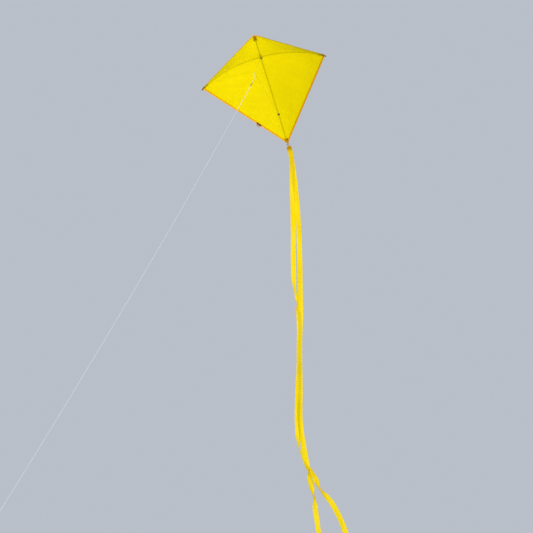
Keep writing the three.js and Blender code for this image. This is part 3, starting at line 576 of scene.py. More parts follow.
hand_knot_middle = at_hand((HAND_KNOT[0] + HAND_KNOT[1]) / 2, 0)
hand_knot_line = wound(hand_knot_middle, line_way, 5, 2.05 * LINE_RADIUS, 2.3 * LINE_RADIUS)
hand_knot = tube("hand_loop_knot", hand_knot_line, LINE_RADIUS, sides=10)
settle(hand_knot, "hand_loop_knot", line_braid, "line", "line_cord")

# %% [markdown]
# ## The swivel clip
# The line is tied to a small swivel clip, as anglers use: an eye whose stem turns in a barrel, and a
# wire hook with a sprung gate on the other side. All of it lies along the line's first stretch, so the
# pieces are made upright at the origin, hook up, and then turned into place.

# %% The clip's own frame
def up_the_line(piece):
    """Turns a piece made round the origin, +Z towards the kite, into its place on the line."""
    way = (LINE_ROUTE[0] - LINE_ROUTE[1]).normalized()
    turn = Vector((0, 0, 1)).rotation_difference(way).to_matrix().to_4x4()
    piece.data.transform(Matrix.Translation(LINE_ROUTE[0]) @ turn)
    return piece


def clip_point(x, y, z):
    way = (LINE_ROUTE[0] - LINE_ROUTE[1]).normalized()
    return LINE_ROUTE[0] + Vector((0, 0, 1)).rotation_difference(way) @ Vector((x, y, z))


KNOT_BOTTOM = 0.0003
KNOT_TOP = KNOT_BOTTOM + 0.008
LOOP_TOP = KNOT_TOP + 0.004
CLIP_WIRE = 0.0006
EYE_RADIUS = 0.0024
EYE_CENTRE = LOOP_TOP - LINE_RADIUS - CLIP_WIRE - 0.0003 + EYE_RADIUS
BARREL_BOTTOM = EYE_CENTRE + EYE_RADIUS + CLIP_WIRE + 0.001
BARREL_LENGTH = 0.009
BARREL_RADIUS = 0.0026
HOOK_BASE = BARREL_BOTTOM + BARREL_LENGTH + 0.0003
HOOK_LENGTH = 0.020
HOOK_HALF_WIDTH = 0.0036
GATE_X = -0.003
GATE_FOOT = HOOK_BASE + 0.0032
GATE_TOP = HOOK_BASE + 0.0148


# %% [markdown]
# Wire pieces are drawn as a smooth Bezier curve through a few points and given a round section, then
# made a mesh. Turned pieces are drawn as half a profile from one vertex, extruded point by point, and
# spun round the axis.

# %% Wire and turned pieces
def bent_wire(name, points, radius, closed=False, steps=8):
    bare()
    bpy.ops.curve.primitive_bezier_curve_add()
    curve = bpy.context.object
    spline = curve.data.splines[0]
    spline.bezier_points.add(len(points) - 2)
    for knot, point in zip(spline.bezier_points, points):
        knot.co = point
        knot.handle_left_type = knot.handle_right_type = "AUTO"
    spline.use_cyclic_u = closed
    curve.data.dimensions = "3D"
    curve.data.resolution_u = steps
    curve.data.bevel_depth = radius
    curve.data.bevel_resolution = 3
    curve.data.use_fill_caps = not closed
    bpy.ops.object.convert(target="MESH")
    wire = bpy.context.object
    wire.name = name
    turn_outward(wire)
    return wire


def turned(name, profile, steps=32):
    """Spins a profile of (radius, height) points round Z into a closed shape."""
    bare()
    bpy.ops.mesh.primitive_plane_add(size=0.001, location=(profile[0][0], 0, profile[0][1]))
    piece = bpy.context.object
    bpy.ops.object.transform_apply(location=True)
    bpy.ops.object.mode_set(mode="EDIT")
    bpy.ops.mesh.select_mode(type="VERT")
    bpy.ops.mesh.select_all(action="SELECT")
    bpy.ops.mesh.merge(type="CENTER")
    for here, there in zip(profile, profile[1:]):
        step = (there[0] - here[0], 0, there[1] - here[1])
        bpy.ops.mesh.extrude_region_move(TRANSFORM_OT_translate={"value": step})
    bpy.ops.mesh.select_all(action="SELECT")
    bpy.ops.mesh.spin(steps=steps, angle=2 * math.pi, center=(0, 0, 0), axis=(0, 0, 1))
    bpy.ops.object.mode_set(mode="OBJECT")
    piece.name = name
    turn_outward(piece)
    return piece


def joined(*pieces):
    bare()
    for piece in pieces:
        piece.select_set(True)
    bpy.context.view_layer.objects.active = pieces[0]
    bpy.ops.object.join()
    return pieces[0]


def united(first, *others):
    """A boolean union of closed pieces, which are used up."""
    for other in others:
        apply_modifier(first, "BOOLEAN", operation="UNION", solver="EXACT", object=other)
        bpy.data.objects.remove(other)
    return first


# %% The knot and the eye
line_knot_wrap = tube(
    "wrap", wound(Vector((0, 0, (KNOT_BOTTOM + KNOT_TOP) / 2)), Vector((0, 0, 1)), 3.9, 0.00185, 0.0011),
    LINE_RADIUS, sides=10,
)
loop_half = [
    (0.0000, KNOT_TOP - 0.0010), (0.0015, KNOT_TOP), (0.0021, KNOT_TOP + 0.0018), (0.0014, LOOP_TOP - 0.0005),
]
loop_points = [*loop_half, (0, LOOP_TOP), *[(-y, z) for y, z in reversed(loop_half[1:])]]
loop_closed = [Vector((0, y, z)) for y, z in loop_points]
line_knot_loop = tube("loop", closed_through(loop_closed, 6), LINE_RADIUS * 0.8, 10, closed=True)
line_knot = up_the_line(joined(line_knot_wrap, line_knot_loop))
settle(line_knot, "line_knot_turns", line_braid, "line", "line_cord", "line_knot")

eye_ring = bent_wire("swivel_eye_ring", [
    (EYE_RADIUS * math.sin(a), 0, EYE_CENTRE + EYE_RADIUS * math.cos(a))
    for a in [2 * math.pi * i / 8 for i in range(8)]
], CLIP_WIRE, closed=True)
STEM = 0.0007
eye_stem = turned("swivel_stem", [
    (0, EYE_CENTRE + EYE_RADIUS - 0.0002),
    (STEM, EYE_CENTRE + EYE_RADIUS - 0.0002),
    (STEM, BARREL_BOTTOM + BARREL_LENGTH / 2 - 0.0012),
    (STEM * 0.7, BARREL_BOTTOM + BARREL_LENGTH / 2 - 0.0009),
    (0, BARREL_BOTTOM + BARREL_LENGTH / 2 - 0.0009),
], 20)
swivel_eye = up_the_line(united(eye_ring, eye_stem))
settle(swivel_eye, "swivel_eye_wire", dark_bronze, "line", "dark_metal", "swivel_eye")

# %% [markdown]
# The barrel is turned brass, swelling in the middle, with a groove rolled in near each end to hold the
# eye's stem in. Its bore is drawn in the same profile, so the stem stands clear inside it.

# %% The barrel
NECK = BARREL_RADIUS * 0.6
BORE = STEM + 0.0003
barrel_profile = [
    (BORE, 0), (NECK * 0.92, 0), (NECK, 0.0003), (NECK, 0.0008), (NECK * 0.85, 0.0011), (NECK * 1.1, 0.0014),
    (BARREL_RADIUS * 0.93, 0.0021), (BARREL_RADIUS, 0.0032), (BARREL_RADIUS, BARREL_LENGTH - 0.0032),
    (BARREL_RADIUS * 0.93, BARREL_LENGTH - 0.0021), (NECK * 1.1, BARREL_LENGTH - 0.0014),
    (NECK * 0.85, BARREL_LENGTH - 0.0011), (NECK, BARREL_LENGTH - 0.0008), (NECK, BARREL_LENGTH - 0.0003),
    (NECK * 0.92, BARREL_LENGTH), (0, BARREL_LENGTH), (0, BARREL_LENGTH / 2),
    (BORE, BARREL_LENGTH / 2), (BORE, 0),
]
barrel = turned("swivel_barrel_body", [(r, h + BARREL_BOTTOM) for r, h in barrel_profile])
settle(up_the_line(barrel), "swivel_barrel_body", dark_bronze, "bridle", "dark_metal", "swivel_barrel")

# %% The hook and its gate
hook_wire = bent_wire("snap_hook_wire", [
    (0, 0, HOOK_BASE + 0.0011),
    (HOOK_HALF_WIDTH * 0.6, 0, HOOK_BASE + 0.0024),
    (HOOK_HALF_WIDTH, 0, HOOK_BASE + 0.005),
    (HOOK_HALF_WIDTH, 0, HOOK_BASE + HOOK_LENGTH / 2),
    (HOOK_HALF_WIDTH * 0.92, 0, HOOK_BASE + HOOK_LENGTH - 0.003),
    (0, 0, HOOK_BASE + HOOK_LENGTH),
    (-HOOK_HALF_WIDTH * 0.8, 0, HOOK_BASE + HOOK_LENGTH - 0.0024),
    (GATE_X, 0, GATE_TOP + CLIP_WIRE + 0.0003),
], CLIP_WIRE)
shank = turned("shank", [
    (0, HOOK_BASE), (0.0011, HOOK_BASE), (0.0013, HOOK_BASE + 0.0002), (0.0013, HOOK_BASE + 0.0019),
    (0.0011, HOOK_BASE + 0.0022), (0, HOOK_BASE + 0.0022),
], 24)
snap_hook = up_the_line(united(hook_wire, shank))
settle(snap_hook, "snap_hook_wire", dark_bronze, "bridle", "dark_metal", "snap_hook")
gate_wire = bent_wire("snap_gate_wire", [
    (GATE_X, 0, GATE_FOOT), (GATE_X - 0.0001, 0, (GATE_FOOT + GATE_TOP) / 2), (GATE_X, 0, GATE_TOP),
], CLIP_WIRE * 0.92)
gate_hub = turned("hub", [
    (0, -0.0008), (0.0007, -0.0008), (0.0009, -0.0006), (0.0009, 0.0006), (0.0007, 0.0008), (0, 0.0008),
], 20)
gate_hub.data.transform(Matrix.Translation((GATE_X, 0, GATE_FOOT)) @ Matrix.Rotation(math.pi / 2, 4, "X"))
snap_gate = up_the_line(united(gate_wire, gate_hub))
settle(snap_gate, "snap_gate_wire", dark_bronze, "gate", "dark_metal", "snap_gate")

# %% [markdown]
# ## The bridle
# Two thin cords leave the spine through eyelets, above and below the balance point, and meet at a
# towing knot out in front. A long pigtail loop hangs from that knot, and the clip hooks into it. The legs
# are taut, so they are straight; the knot is a real overhand knot, drawn as a trefoil.

# %% Bridle legs and towing knot
CORD_RADIUS = 0.0005
TOW_KNOT_RADIUS = 0.0026
LEG_KNOT_RADIUS = 0.0015
tow_low, tow_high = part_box("tow_knot")
TOW_POINT = (tow_low + tow_high) / 2


def leg_start(node):
    low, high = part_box(node)
    top = node == "bridle_upper_leg"
    return Vector((0, high.y - LEG_KNOT_RADIUS, high.z - LEG_KNOT_RADIUS if top else low.z + LEG_KNOT_RADIUS))


for which in ("upper", "lower"):
    node = f"bridle_{which}_leg"
    start = leg_start(node)
    away = (TOW_POINT - start).normalized()
    run = evenly([start + away * LEG_KNOT_RADIUS, TOW_POINT - away * (TOW_KNOT_RADIUS + 0.0003)], 60)
    leg = tube(node + "_cord", run, CORD_RADIUS, sides=10)
    settle(leg, node + "_cord", straw_braid, "bridle", "bridle_cord", node)
    knot = tube("turns", wound(start, away, 3, 0.00085, 0.001, ends=0.2), CORD_RADIUS * 0.9, sides=8)
    settle(knot, f"bridle_{which}_knot", straw_braid, "bridle", "bridle_cord")


def trefoil(centre, size, steps=90):
    points = []
    for i in range(steps):
        t = 2 * math.pi * i / steps
        x = math.sin(t) + 2 * math.sin(2 * t)
        y = math.cos(t) - 2 * math.cos(2 * t)
        z = -1.35 * math.sin(3 * t)
        points.append(centre + Vector((x, z, y)) * size / 3)
    return points


tow_knot_line = trefoil(TOW_POINT, TOW_KNOT_RADIUS - CORD_RADIUS)
tow_knot = tube("tow_knot_turns", tow_knot_line, CORD_RADIUS * 1.25, 10, closed=True)
settle(tow_knot, "tow_knot_turns", bridle_braid, "bridle", "bridle_cord", "tow_knot")

# %% The pigtail
HOOK_CROWN = HOOK_BASE + HOOK_LENGTH
STRAND_APART = CLIP_WIRE + CORD_RADIUS + 0.0006
pigtail_end = clip_point(0, 0, HOOK_CROWN + 0.005)
pigtail_way = (pigtail_end - TOW_POINT).normalized()
pigtail_start = TOW_POINT + pigtail_way * (TOW_KNOT_RADIUS + 0.0003 + CORD_RADIUS)
pigtail_across = (clip_point(0, 1, 0) - clip_point(0, 0, 0)).normalized()
PIGTAIL_SAG = at_mm([(3, -1, -2)])[0]


def strand(t, apart):
    middle = pigtail_start.lerp(pigtail_end, t) + PIGTAIL_SAG * 4 * t * (1 - t)
    return middle + pigtail_across * apart


def pigtail_side(sign):
    return [
        strand(0.08, sign * 0.0011),
        strand(0.4, sign * 0.0014),
        strand(0.8, sign * 0.0017),
        clip_point(0, sign * (STRAND_APART + 0.0003), HOOK_CROWN + 0.001),
        clip_point(0, sign * STRAND_APART * 0.85, HOOK_CROWN - STRAND_APART * 0.75),
    ]


pigtail_points = [
    strand(0, 0), *pigtail_side(1), clip_point(0, 0, HOOK_CROWN - STRAND_APART - 0.0004),
    *reversed(pigtail_side(-1)),
]
pigtail_line = closed_through(pigtail_points, 12)
pigtail = tube("pigtail_loop", pigtail_line, CORD_RADIUS, 10, closed=True)
settle(pigtail, "pigtail_loop", bridle_braid, "bridle", "bridle_cord", "pigtail")
evenly(whole_line, 900)

# %% [markdown]
# ## The bowed sail
# The spreader is bent into an arc by its sleeve and the cloth, so the sail is part of a bowed surface
# that comes to a point at the nose and the tail and bellies back a little in each panel. The surface is
# a function of two cloth measures: how far along the spreader, and how high. Every cloth piece is laid on
# it. In millimetres, as a sailmaker would mark it.

# %% The bowed surface
SAIL_HEIGHT = 760
SPREADER_LENGTH = 760
BOW_DEPTH = 142
NOSE = 147  # the spreader crosses this far below the nose
TAIL = SAIL_HEIGHT - NOSE
UPPER_TIE = -20
LOWER_TIE = NOSE - 560
ROD_RADIUS = 2
CAP_RADIUS = 3.3
BORE_RADIUS = 2.3
CLEARANCE = 0.3
SPREADER_BEHIND = 5.4  # from the spine's axis to the spreader's
SAIL_AHEAD = 4.5  # from the spine's axis to the cloth
HALF_SPAN = SPREADER_LENGTH / 2 - 10
HEM_WIDTH = 9
CORNER_CUT = 3
UPPER_BILLOW = 5
LOWER_BILLOW = 13
CORNER_FLATNESS = 0.03


def arc_half_angle(length, depth):
    low, high = 0.01, 1.5
    for _ in range(60):
        middle = (low + high) / 2
        if (1 - math.cos(middle)) / (2 * middle) < depth / length:
            low = middle
        else:
            high = middle
    return low


BOW_ANGLE = arc_half_angle(SPREADER_LENGTH, BOW_DEPTH)
BOW_RADIUS = SPREADER_LENGTH / (2 * BOW_ANGLE)


def on_spreader(u):
    angle = u / BOW_RADIUS
    return Vector((BOW_RADIUS * math.sin(angle), SPREADER_BEHIND + BOW_RADIUS * (1 - math.cos(angle)), 0))


TIP_ANGLE = HALF_SPAN / BOW_RADIUS
TIP_STANDOFF = CAP_RADIUS + CLEARANCE + 0.8 + 1.6  # cap, gap, half a hem, and the fold round the rod
sail_tip = on_spreader(HALF_SPAN) + Vector((math.sin(TIP_ANGLE), -math.cos(TIP_ANGLE), 0)) * TIP_STANDOFF
SAIL_ANGLE = 2 * math.atan2(sail_tip.y + SAIL_AHEAD, sail_tip.x)
SAIL_RADIUS = sail_tip.x / math.sin(SAIL_ANGLE)

# %% [markdown]
# The pull of the spars draws creases from the tips and corners into the cloth. Each is a low ridge along
# a line, highest in the middle and gone at both ends; a soft unevenness lies between them. All of it
# fades along the spine and at the corners, where the cloth is held flat.

# %% Creases
CREASES = [  # from, to, height, half width
    ((-345, -10), (-46, -105), 3.6, 8),
    ((-330, -38), (-60, -190), 2.4, 12),
    ((340, -14), (60, -70), 1.6, 10),
    ((330, -45), (120, -240), 1.6, 13),
    ((-14, 118), (-70, 20), 1.4, 6),
    ((-30, 100), (-130, 12), 1.2, 8),
    ((16, 116), (120, 30), 1.3, 8),
    ((60, 104), (230, 36), 1.5, 9),
    ((-12, -560), (-60, -330), 1.4, 8),
    ((14, -560), (80, -300), 1.4, 9),
    ((12, -410), (130, -330), 1.0, 9),
    ((-12, -410), (-110, -300), 1.0, 8),
    ((-20, -24), (-130, -60), 1.2, 9),
]


def crease_height(u, z):
    total = 0.0
    for (u0, z0), (u1, z1), height, width in CREASES:
        du, dz = u1 - u0, z1 - z0
        share = ((u - u0) * du + (z - z0) * dz) / (du * du + dz * dz)
        if 0 < share < 1:
            off = ((u - u0) * dz - (z - z0) * du) / math.hypot(du, dz)
            total -= height * math.sin(math.pi * share) ** 0.7 * math.exp(-((off / width) ** 2))
    soft = 0.8 * math.sin(0.031 * u + 1.3) * math.sin(0.037 * z + 0.4)
    soft += 0.35 * math.sin(0.085 * u - 0.05 * z) + 0.25 * math.sin(0.06 * u + 0.11 * z + 2)
    spine = min(1.0, max(0.0, (abs(u) - 9) / 25))
    span = 1 - z / NOSE if z > 0 else 1 + z / TAIL
    corner = min(1.0, max(0.0, (span - 0.08) / 0.12)) * min(1.0, max(0.0, (HALF_SPAN - 35 - abs(u)) / 30))
    return (total + soft) * spine * corner


def plain_sail(u, z):
    reach = max(1e-4, 1 - z / NOSE if z > 0 else 1 + z / TAIL)
    flat = reach * (1 + CORNER_FLATNESS) / (reach + CORNER_FLATNESS)
    angle = u / reach / HALF_SPAN * SAIL_ANGLE
    side, end = abs(u) / HALF_SPAN, 1 - reach
    belly = max(0.0, 27 * side * end * (1 - side - end)) ** 2 * (UPPER_BILLOW if z > 0 else LOWER_BILLOW)
    return Vector((
        reach * SAIL_RADIUS * math.sin(angle),
        -SAIL_AHEAD + flat * reach * SAIL_RADIUS * (1 - math.cos(angle)) + belly,
        z,
    ))


def to_the_back(u, z):
    """The surface's direction to the back. Close to a corner it is taken a little further out."""
    corner = NOSE if z > 0 else -TAIL
    reach = 1 - z / corner
    out = max(reach, 0.03) / max(reach, 1e-4)
    far_u, far_z = u * out, corner * (1 - reach * out)
    across = plain_sail(far_u + 0.5, far_z) - plain_sail(far_u - 0.5, far_z)
    up = plain_sail(far_u, far_z + 0.5) - plain_sail(far_u, far_z - 0.5)
    return up.cross(across).normalized()


def over_spreader(u, z):
    angle = u / HALF_SPAN * SAIL_ANGLE
    return Vector((-math.sin(angle), math.cos(angle), 0))


def on_sail(u, z, height=0.0, direction=to_the_back):
    return plain_sail(u, z) + direction(u, z) * (height + crease_height(u, z))


def mix(a, b, t):
    return a + (b - a) * t


def inset(distance):
    """The outline moved in by a distance: its nose, tail and tip."""
    upper = 1 - distance * math.hypot(1 / HALF_SPAN, 1 / NOSE)
    lower = 1 - distance * math.hypot(1 / HALF_SPAN, 1 / TAIL)
    tip_z = (upper - lower) / (1 / NOSE + 1 / TAIL)
    return upper * NOSE, -lower * TAIL, HALF_SPAN * (upper - tip_z / NOSE), tip_z


# %% [markdown]
# A cloth piece is a grid of points laid on the surface, with its threads marked in a UV map, and given
# its thickness by Solidify. A grid follows the bow far better than a flat shape that is bent later, and
# the edges come out where the cutter would cut them.

# %% Laying cloth
def lay_cloth(name, rows, columns, place, thickness, direction=to_the_back):
    """place(i, j), each from 0 to 1, gives (u, z, height, weave across, weave along) in millimetres."""
    points, marks = [], []
    for i in range(rows + 1):
        for j in range(columns + 1):
            u, z, height, across, along = place(i / rows, j / columns)
            points.append(on_sail(u, z, height, direction) * MM)
            marks.append((across * MM, along * MM))
    piece = from_grid(name, points, marks, columns)
    apply_modifier(piece, "SOLIDIFY", thickness=thickness * MM, offset=0)
    return piece


# %% [markdown]
# ### The sail
# One piece of ripstop, cut to the diamond with its edges tucked into the hems. Two holes are punched
# where the bridle comes through.

# %% The sail
TUCK = 3  # how far the cloth's edge runs into the hem
CLOTH = 0.25
edge_top, edge_bottom, edge_tip, edge_tip_z = inset(HEM_WIDTH - TUCK)
UPPER_ROWS, LOWER_ROWS = 34, 92
ROW_PACKING = 1.5  # rows lie closer towards the nose and the tail
sail_heights = [
    mix(edge_top - CORNER_CUT, edge_tip_z, (i / UPPER_ROWS) ** ROW_PACKING) for i in range(UPPER_ROWS)
]
sail_heights += [
    mix(edge_bottom + CORNER_CUT, edge_tip_z, (1 - i / LOWER_ROWS) ** ROW_PACKING)
    for i in range(LOWER_ROWS + 1)
]


def sail_half_width(z):
    if z > edge_tip_z:
        return edge_tip * (edge_top - z) / (edge_top - edge_tip_z)
    return edge_tip * (z - edge_bottom) / (edge_tip_z - edge_bottom)


def sail_place(i, j):
    z = sail_heights[round(i * (len(sail_heights) - 1))]
    u = sail_half_width(z) * (2 * j - 1)
    return u, z, 0, u, z


sail = lay_cloth("sail_cloth", len(sail_heights) - 1, 110, sail_place, CLOTH)
EYELET_HOLE = 3.2
EYELET_WALL = 0.5
for tie in (UPPER_TIE, LOWER_TIE):
    bare()
    bpy.ops.mesh.primitive_cylinder_add(
        vertices=32, radius=(EYELET_HOLE + EYELET_WALL + 0.1) * MM, depth=4 * MM,
        location=(0, -SAIL_AHEAD * MM, tie * MM), rotation=(math.pi / 2, 0, 0),
    )
    punch = bpy.context.object
    apply_modifier(sail, "BOOLEAN", operation="DIFFERENCE", solver="EXACT", object=punch)
    bpy.data.objects.remove(punch)
settle(sail, "sail_cloth", ripstop, "kite", "sail_cloth", "sail")

# %% [markdown]
# ### The hems
# Each edge is folded over the cloth and sewn down: a folded strip with a round outer edge, which puckers
# a little between the stitches. Two layers over the sail let less light through, so the hems look
# deeper and more orange than the cloth, and that deeper orange is painted shade in the hem cloth's
# colour.

# %% The hems
HEM_SECTION = [  # distance in from the edge, height
    (9.0, 0.45), (7.6, 0.52), (7.2, 0.42), (6.8, 0.52), (4.5, 0.6), (2.0, 0.58), (0.8, 0.48), (0.2, 0.28),
    (0.0, 0.0),
    (0.2, -0.28), (0.8, -0.48), (2.0, -0.58), (4.5, -0.6), (6.8, -0.52), (7.2, -0.42), (7.6, -0.52),
    (9.0, -0.45),
]
HEM_CLOTH = 0.22
BLUNT_END = 0.01  # share of a hem that squares its end off at the spine
HEM_PACKING = 1.3  # rows lie closer towards the spine
STITCH_LINE = 7.2
SIDES = (("left", -1), ("right", 1))
inner_top, inner_bottom, inner_tip, inner_tip_z = inset(HEM_WIDTH)


def hem_point(side, upper, along, inward):
    """The cloth measures of a point on a hem: along it from the spine to the tip, inward from its edge."""
    away, corner = (1, NOSE) if upper else (-1, TAIL)
    inner_corner = inner_top if upper else -inner_bottom
    half_gap = CLEARANCE / 2
    j = inward / HEM_WIDTH
    if along < BLUNT_END:  # from the spine out to where the edge begins
        out = along / BLUNT_END
        start_u = mix(half_gap, mix(CORNER_CUT * HALF_SPAN / corner, half_gap * 2, j), out)
        return side * start_u, away * mix(corner - CORNER_CUT, inner_corner - half_gap * 3, j)
    start_u = mix(CORNER_CUT * HALF_SPAN / corner, half_gap * 2, j)
    start_z = mix(corner - CORNER_CUT, inner_corner - half_gap * 3, j)
    tip_u = mix(HALF_SPAN, inner_tip, j)
    tip_z = mix(0, inner_tip_z, j) + away * half_gap
    packed = ((along - BLUNT_END) / (1 - BLUNT_END)) ** HEM_PACKING
    return side * mix(start_u, tip_u, packed), mix(away * start_z, tip_z, packed)


def hem_edge_length(upper):
    return math.hypot(HALF_SPAN, NOSE if upper else TAIL)


def hem_plan(side, upper, rows):
    long = hem_edge_length(upper)

    def place(i, j):
        along = BLUNT_END + (1 - BLUNT_END) * (i * rows - 1) / (rows - 1) if i else 0
        inward, height = HEM_SECTION[round(j * (len(HEM_SECTION) - 1))]
        u, z = hem_point(side, upper, along, inward)
        run = long * along ** HEM_PACKING
        loose = math.sin(math.pi * min(1, inward / STITCH_LINE)) * min(1, 12 * i * (1 - i))
        pucker = 0.12 * math.sin(run / 3.1) + 0.1 * math.sin(run / 7.7 + side)
        return u, z, height + pucker * loose * (1 if height > 0 else -1), inward + 40 * (height < 0), run
    return place


for side_name, side in SIDES:
    for level, upper, rows in (("upper", True, 60), ("lower", False, 110)):
        name = f"hem_{level}_{side_name}"
        hem = lay_cloth(name + "_fold", rows, len(HEM_SECTION) - 1, hem_plan(side, upper, rows), HEM_CLOTH)
        settle(hem, name + "_fold", hem_cloth, "kite", "hem_cloth", name)

# %% [markdown]
# ### Stitches
# A lockstitch shows as a row of short threads on both faces. One stitch is a small round-ended bar; it is
# repeated along each seam at an even pitch, so the seam is real thread and not a painted line. A bar has
# only a few faces because there are hundreds.

# %% Sewing a seam
STITCH_PITCH = 3.2 * MM
STITCH_SECTION = [(0.0, 0.35), (0.12, 0.9), (0.88, 0.9), (1.0, 0.35)]  # along, share of the radius


def sewn(name, seams, material, body, slot, thread=0.00022, pitch=STITCH_PITCH, cover=0.82):
    """Rows of stitches along each seam, a list of points."""
    points, faces, uvs = [], [], []
    sides = 5
    for seam in seams:
        spaced = evenly(seam, max(1, round(length_of(seam) / pitch)))
        for a, b in zip(spaced, spaced[1:]):
            start, end = a.lerp(b, (1 - cover) / 2), a.lerp(b, (1 + cover) / 2)
            way = (end - start).normalized()
            side = way.orthogonal().normalized()
            other = way.cross(side)
            first = len(points)
            for share, swell in STITCH_SECTION:
                for k in range(sides):
                    angle = 2 * math.pi * k / sides
                    out = thread * swell * (math.cos(angle) * side + math.sin(angle) * other)
                    points.append(start.lerp(end, share) + out)
            for ring in range(len(STITCH_SECTION) - 1):
                for k in range(sides):
                    l = (k + 1) % sides
                    low, high = first + ring * sides, first + (ring + 1) * sides
                    faces.append((low + k, low + l, high + l, high + k))
                    left, right = k / sides, (k + 1) / sides
                    bottom, top = STITCH_SECTION[ring][0] * pitch, STITCH_SECTION[ring + 1][0] * pitch
                    uvs += [(left, bottom), (right, bottom), (right, top), (left, top)]
            last = first + (len(STITCH_SECTION) - 1) * sides
            faces.append(tuple(first + k for k in reversed(range(sides))))
            faces.append(tuple(last + k for k in range(sides)))
            uvs += [(0, 0)] * 2 * sides
    seam_piece = from_faces(name, points, faces, uvs)
    return settle(seam_piece, name, material, body, slot, smooth=60)


def hem_seam(side, upper, height):
    steps = 60 if upper else 120
    shares = [0.012 + 0.976 * i / steps for i in range(steps + 1)]
    return [on_sail(*hem_point(side, upper, share, STITCH_LINE), height) * MM for share in shares]


STITCH_HEIGHT = 0.72
for side_name, side in SIDES:
    seams = [hem_seam(side, upper, sign * STITCH_HEIGHT) for upper in (True, False) for sign in (1, -1)]
    sewn(f"hem_stitches_{side_name}", seams, thread_gold, "kite", "hem_cloth")

# %% [markdown]
# The sail is a sheet stretched by its spars: 0.74 m across the tips and 0.76 m from nose to tail when it
# lies flat, a diamond with half the area of that rectangle.

# %% [markdown]
# ### The pockets
# Each spar ends in a soft cap that pushes into a pocket, a patch sewn over the corner on the sail's back.
# The cloth lies flat where it is sewn and rises over the cap in a smooth channel. At the nose and the
# tail the channel closes over the cap; at the tips it stays open and the cap's end stands out.

# %% Pocket shapes
PATCH_CLOTH = 0.4
HEM_HALF_DEPTH = 0.8
PATCH_LIES = HEM_HALF_DEPTH + 2 * CLEARANCE + 0.35  # over the hem and its stitches
POCKET_LENGTH = 42
POCKET_HALF_WIDTH = 11
POCKET_FOOT = 2
SPINE_END_SETBACK = 22
SPINE_POCKET_SHUT = 14


def eased(t):
    t = min(1.0, max(0.0, t))
    return t * t * (3 - 2 * t)


def channel(across, axis_height):
    """How far the cloth stands up over a cap, at a distance across from it."""
    top = axis_height + CAP_RADIUS + CLEARANCE + 0.3 - PATCH_LIES
    foot = POCKET_HALF_WIDTH - POCKET_FOOT
    return top * eased((foot - abs(across)) / (foot - 1.2))


def spine_pocket(corner, away):
    def place(i, j):
        from_corner = mix(POCKET_LENGTH, SPINE_POCKET_SHUT - 2, i)
        room = from_corner * HALF_SPAN / TAIL - CLEARANCE
        u = min(POCKET_HALF_WIDTH, room) * (2 * j - 1)
        closing = eased((from_corner - SPINE_POCKET_SHUT + 1) / (SPINE_END_SETBACK - SPINE_POCKET_SHUT))
        rumple = 0.15 * math.sin(1.1 * from_corner + 2 * j) * eased(4 * j * (1 - j))
        height = PATCH_LIES + channel(u, SAIL_AHEAD) * closing + rumple
        return u, corner - away * from_corner, height, u, from_corner
    return place


def tip_pocket(side):
    def place(i, j):
        u = mix(HALF_SPAN - POCKET_LENGTH, HALF_SPAN - 1, i)
        left_over = 1 - u / HALF_SPAN
        z = mix(-min(POCKET_HALF_WIDTH, left_over * TAIL), min(POCKET_HALF_WIDTH, left_over * NOSE), j)
        axis = (on_spreader(u) - plain_sail(u, 0)).length
        rumple = 0.15 * math.sin(0.9 * u + 3 * j) * eased(4 * j * (1 - j))
        return side * u, z, PATCH_LIES + channel(z, axis) + rumple, z, u
    return place


def sewing_round(place, direction, lift, margin=0.07):
    """The seam round a patch's three sewn edges, lifted onto the face that is seen."""
    steps = 24
    path = [(i / steps, margin) for i in range(1, steps)]
    path += [(1 - margin / 2, mix(margin, 1 - margin, i / steps)) for i in range(1, steps)]
    path += [(1 - i / steps, 1 - margin) for i in range(1, steps)]
    seam = []
    for i, j in path:
        u, z, height, _, _ = place(i, j)
        seam.append(on_sail(u, z, height + lift, direction) * MM)
    return seam


# %% Sewing the pockets on
pocket_plans = [
    ("nose_pocket", spine_pocket(NOSE, 1), to_the_back),
    ("tail_pocket", spine_pocket(-TAIL, -1), to_the_back),
    ("left_tip_pocket", tip_pocket(-1), over_spreader),
    ("right_tip_pocket", tip_pocket(1), over_spreader),
]
for name, place, direction in pocket_plans:
    pocket = lay_cloth(name + "_cloth", 30, 32, place, PATCH_CLOTH, direction)
    settle(pocket, name + "_cloth", patch_cloth, "kite", "patch_cloth", name)
    seam = sewing_round(place, direction, PATCH_CLOTH / 2 + 0.12)
    sewn(name + "_stitches", [seam], thread_brown, "kite", "patch_cloth", pitch=2.4 * MM)

# %% [markdown]
# ### Bindings on the front
# The tips are bound with dark tape that shows on the front as a short brown end. The nose and the tail
# have a small reinforcing patch over the end of the spine, and the nose a darker strip nearer its corner.

# %% Bindings
TAPE = 0.3
FRONT_LIES = -(HEM_HALF_DEPTH + 0.35)


def tip_binding(side, near, far):
    """A strip across the tip, from near to far from its point."""
    def place(i, j):
        u = mix(HALF_SPAN - far, HALF_SPAN - near, i)
        left_over = 1 - u / HALF_SPAN
        z = mix(-min(8, left_over * TAIL), min(8, left_over * NOSE), j)
        return side * u, z, FRONT_LIES, z, u
    return place


def corner_patch(corner, away, near, far, half_width):
    def place(i, j):
        from_corner = mix(far, near, i)
        room = max(0.5, from_corner * HALF_SPAN / TAIL - 1)
        u = min(half_width, room) * (2 * j - 1)
        return u, corner - away * from_corner, FRONT_LIES, u, from_corner
    return place


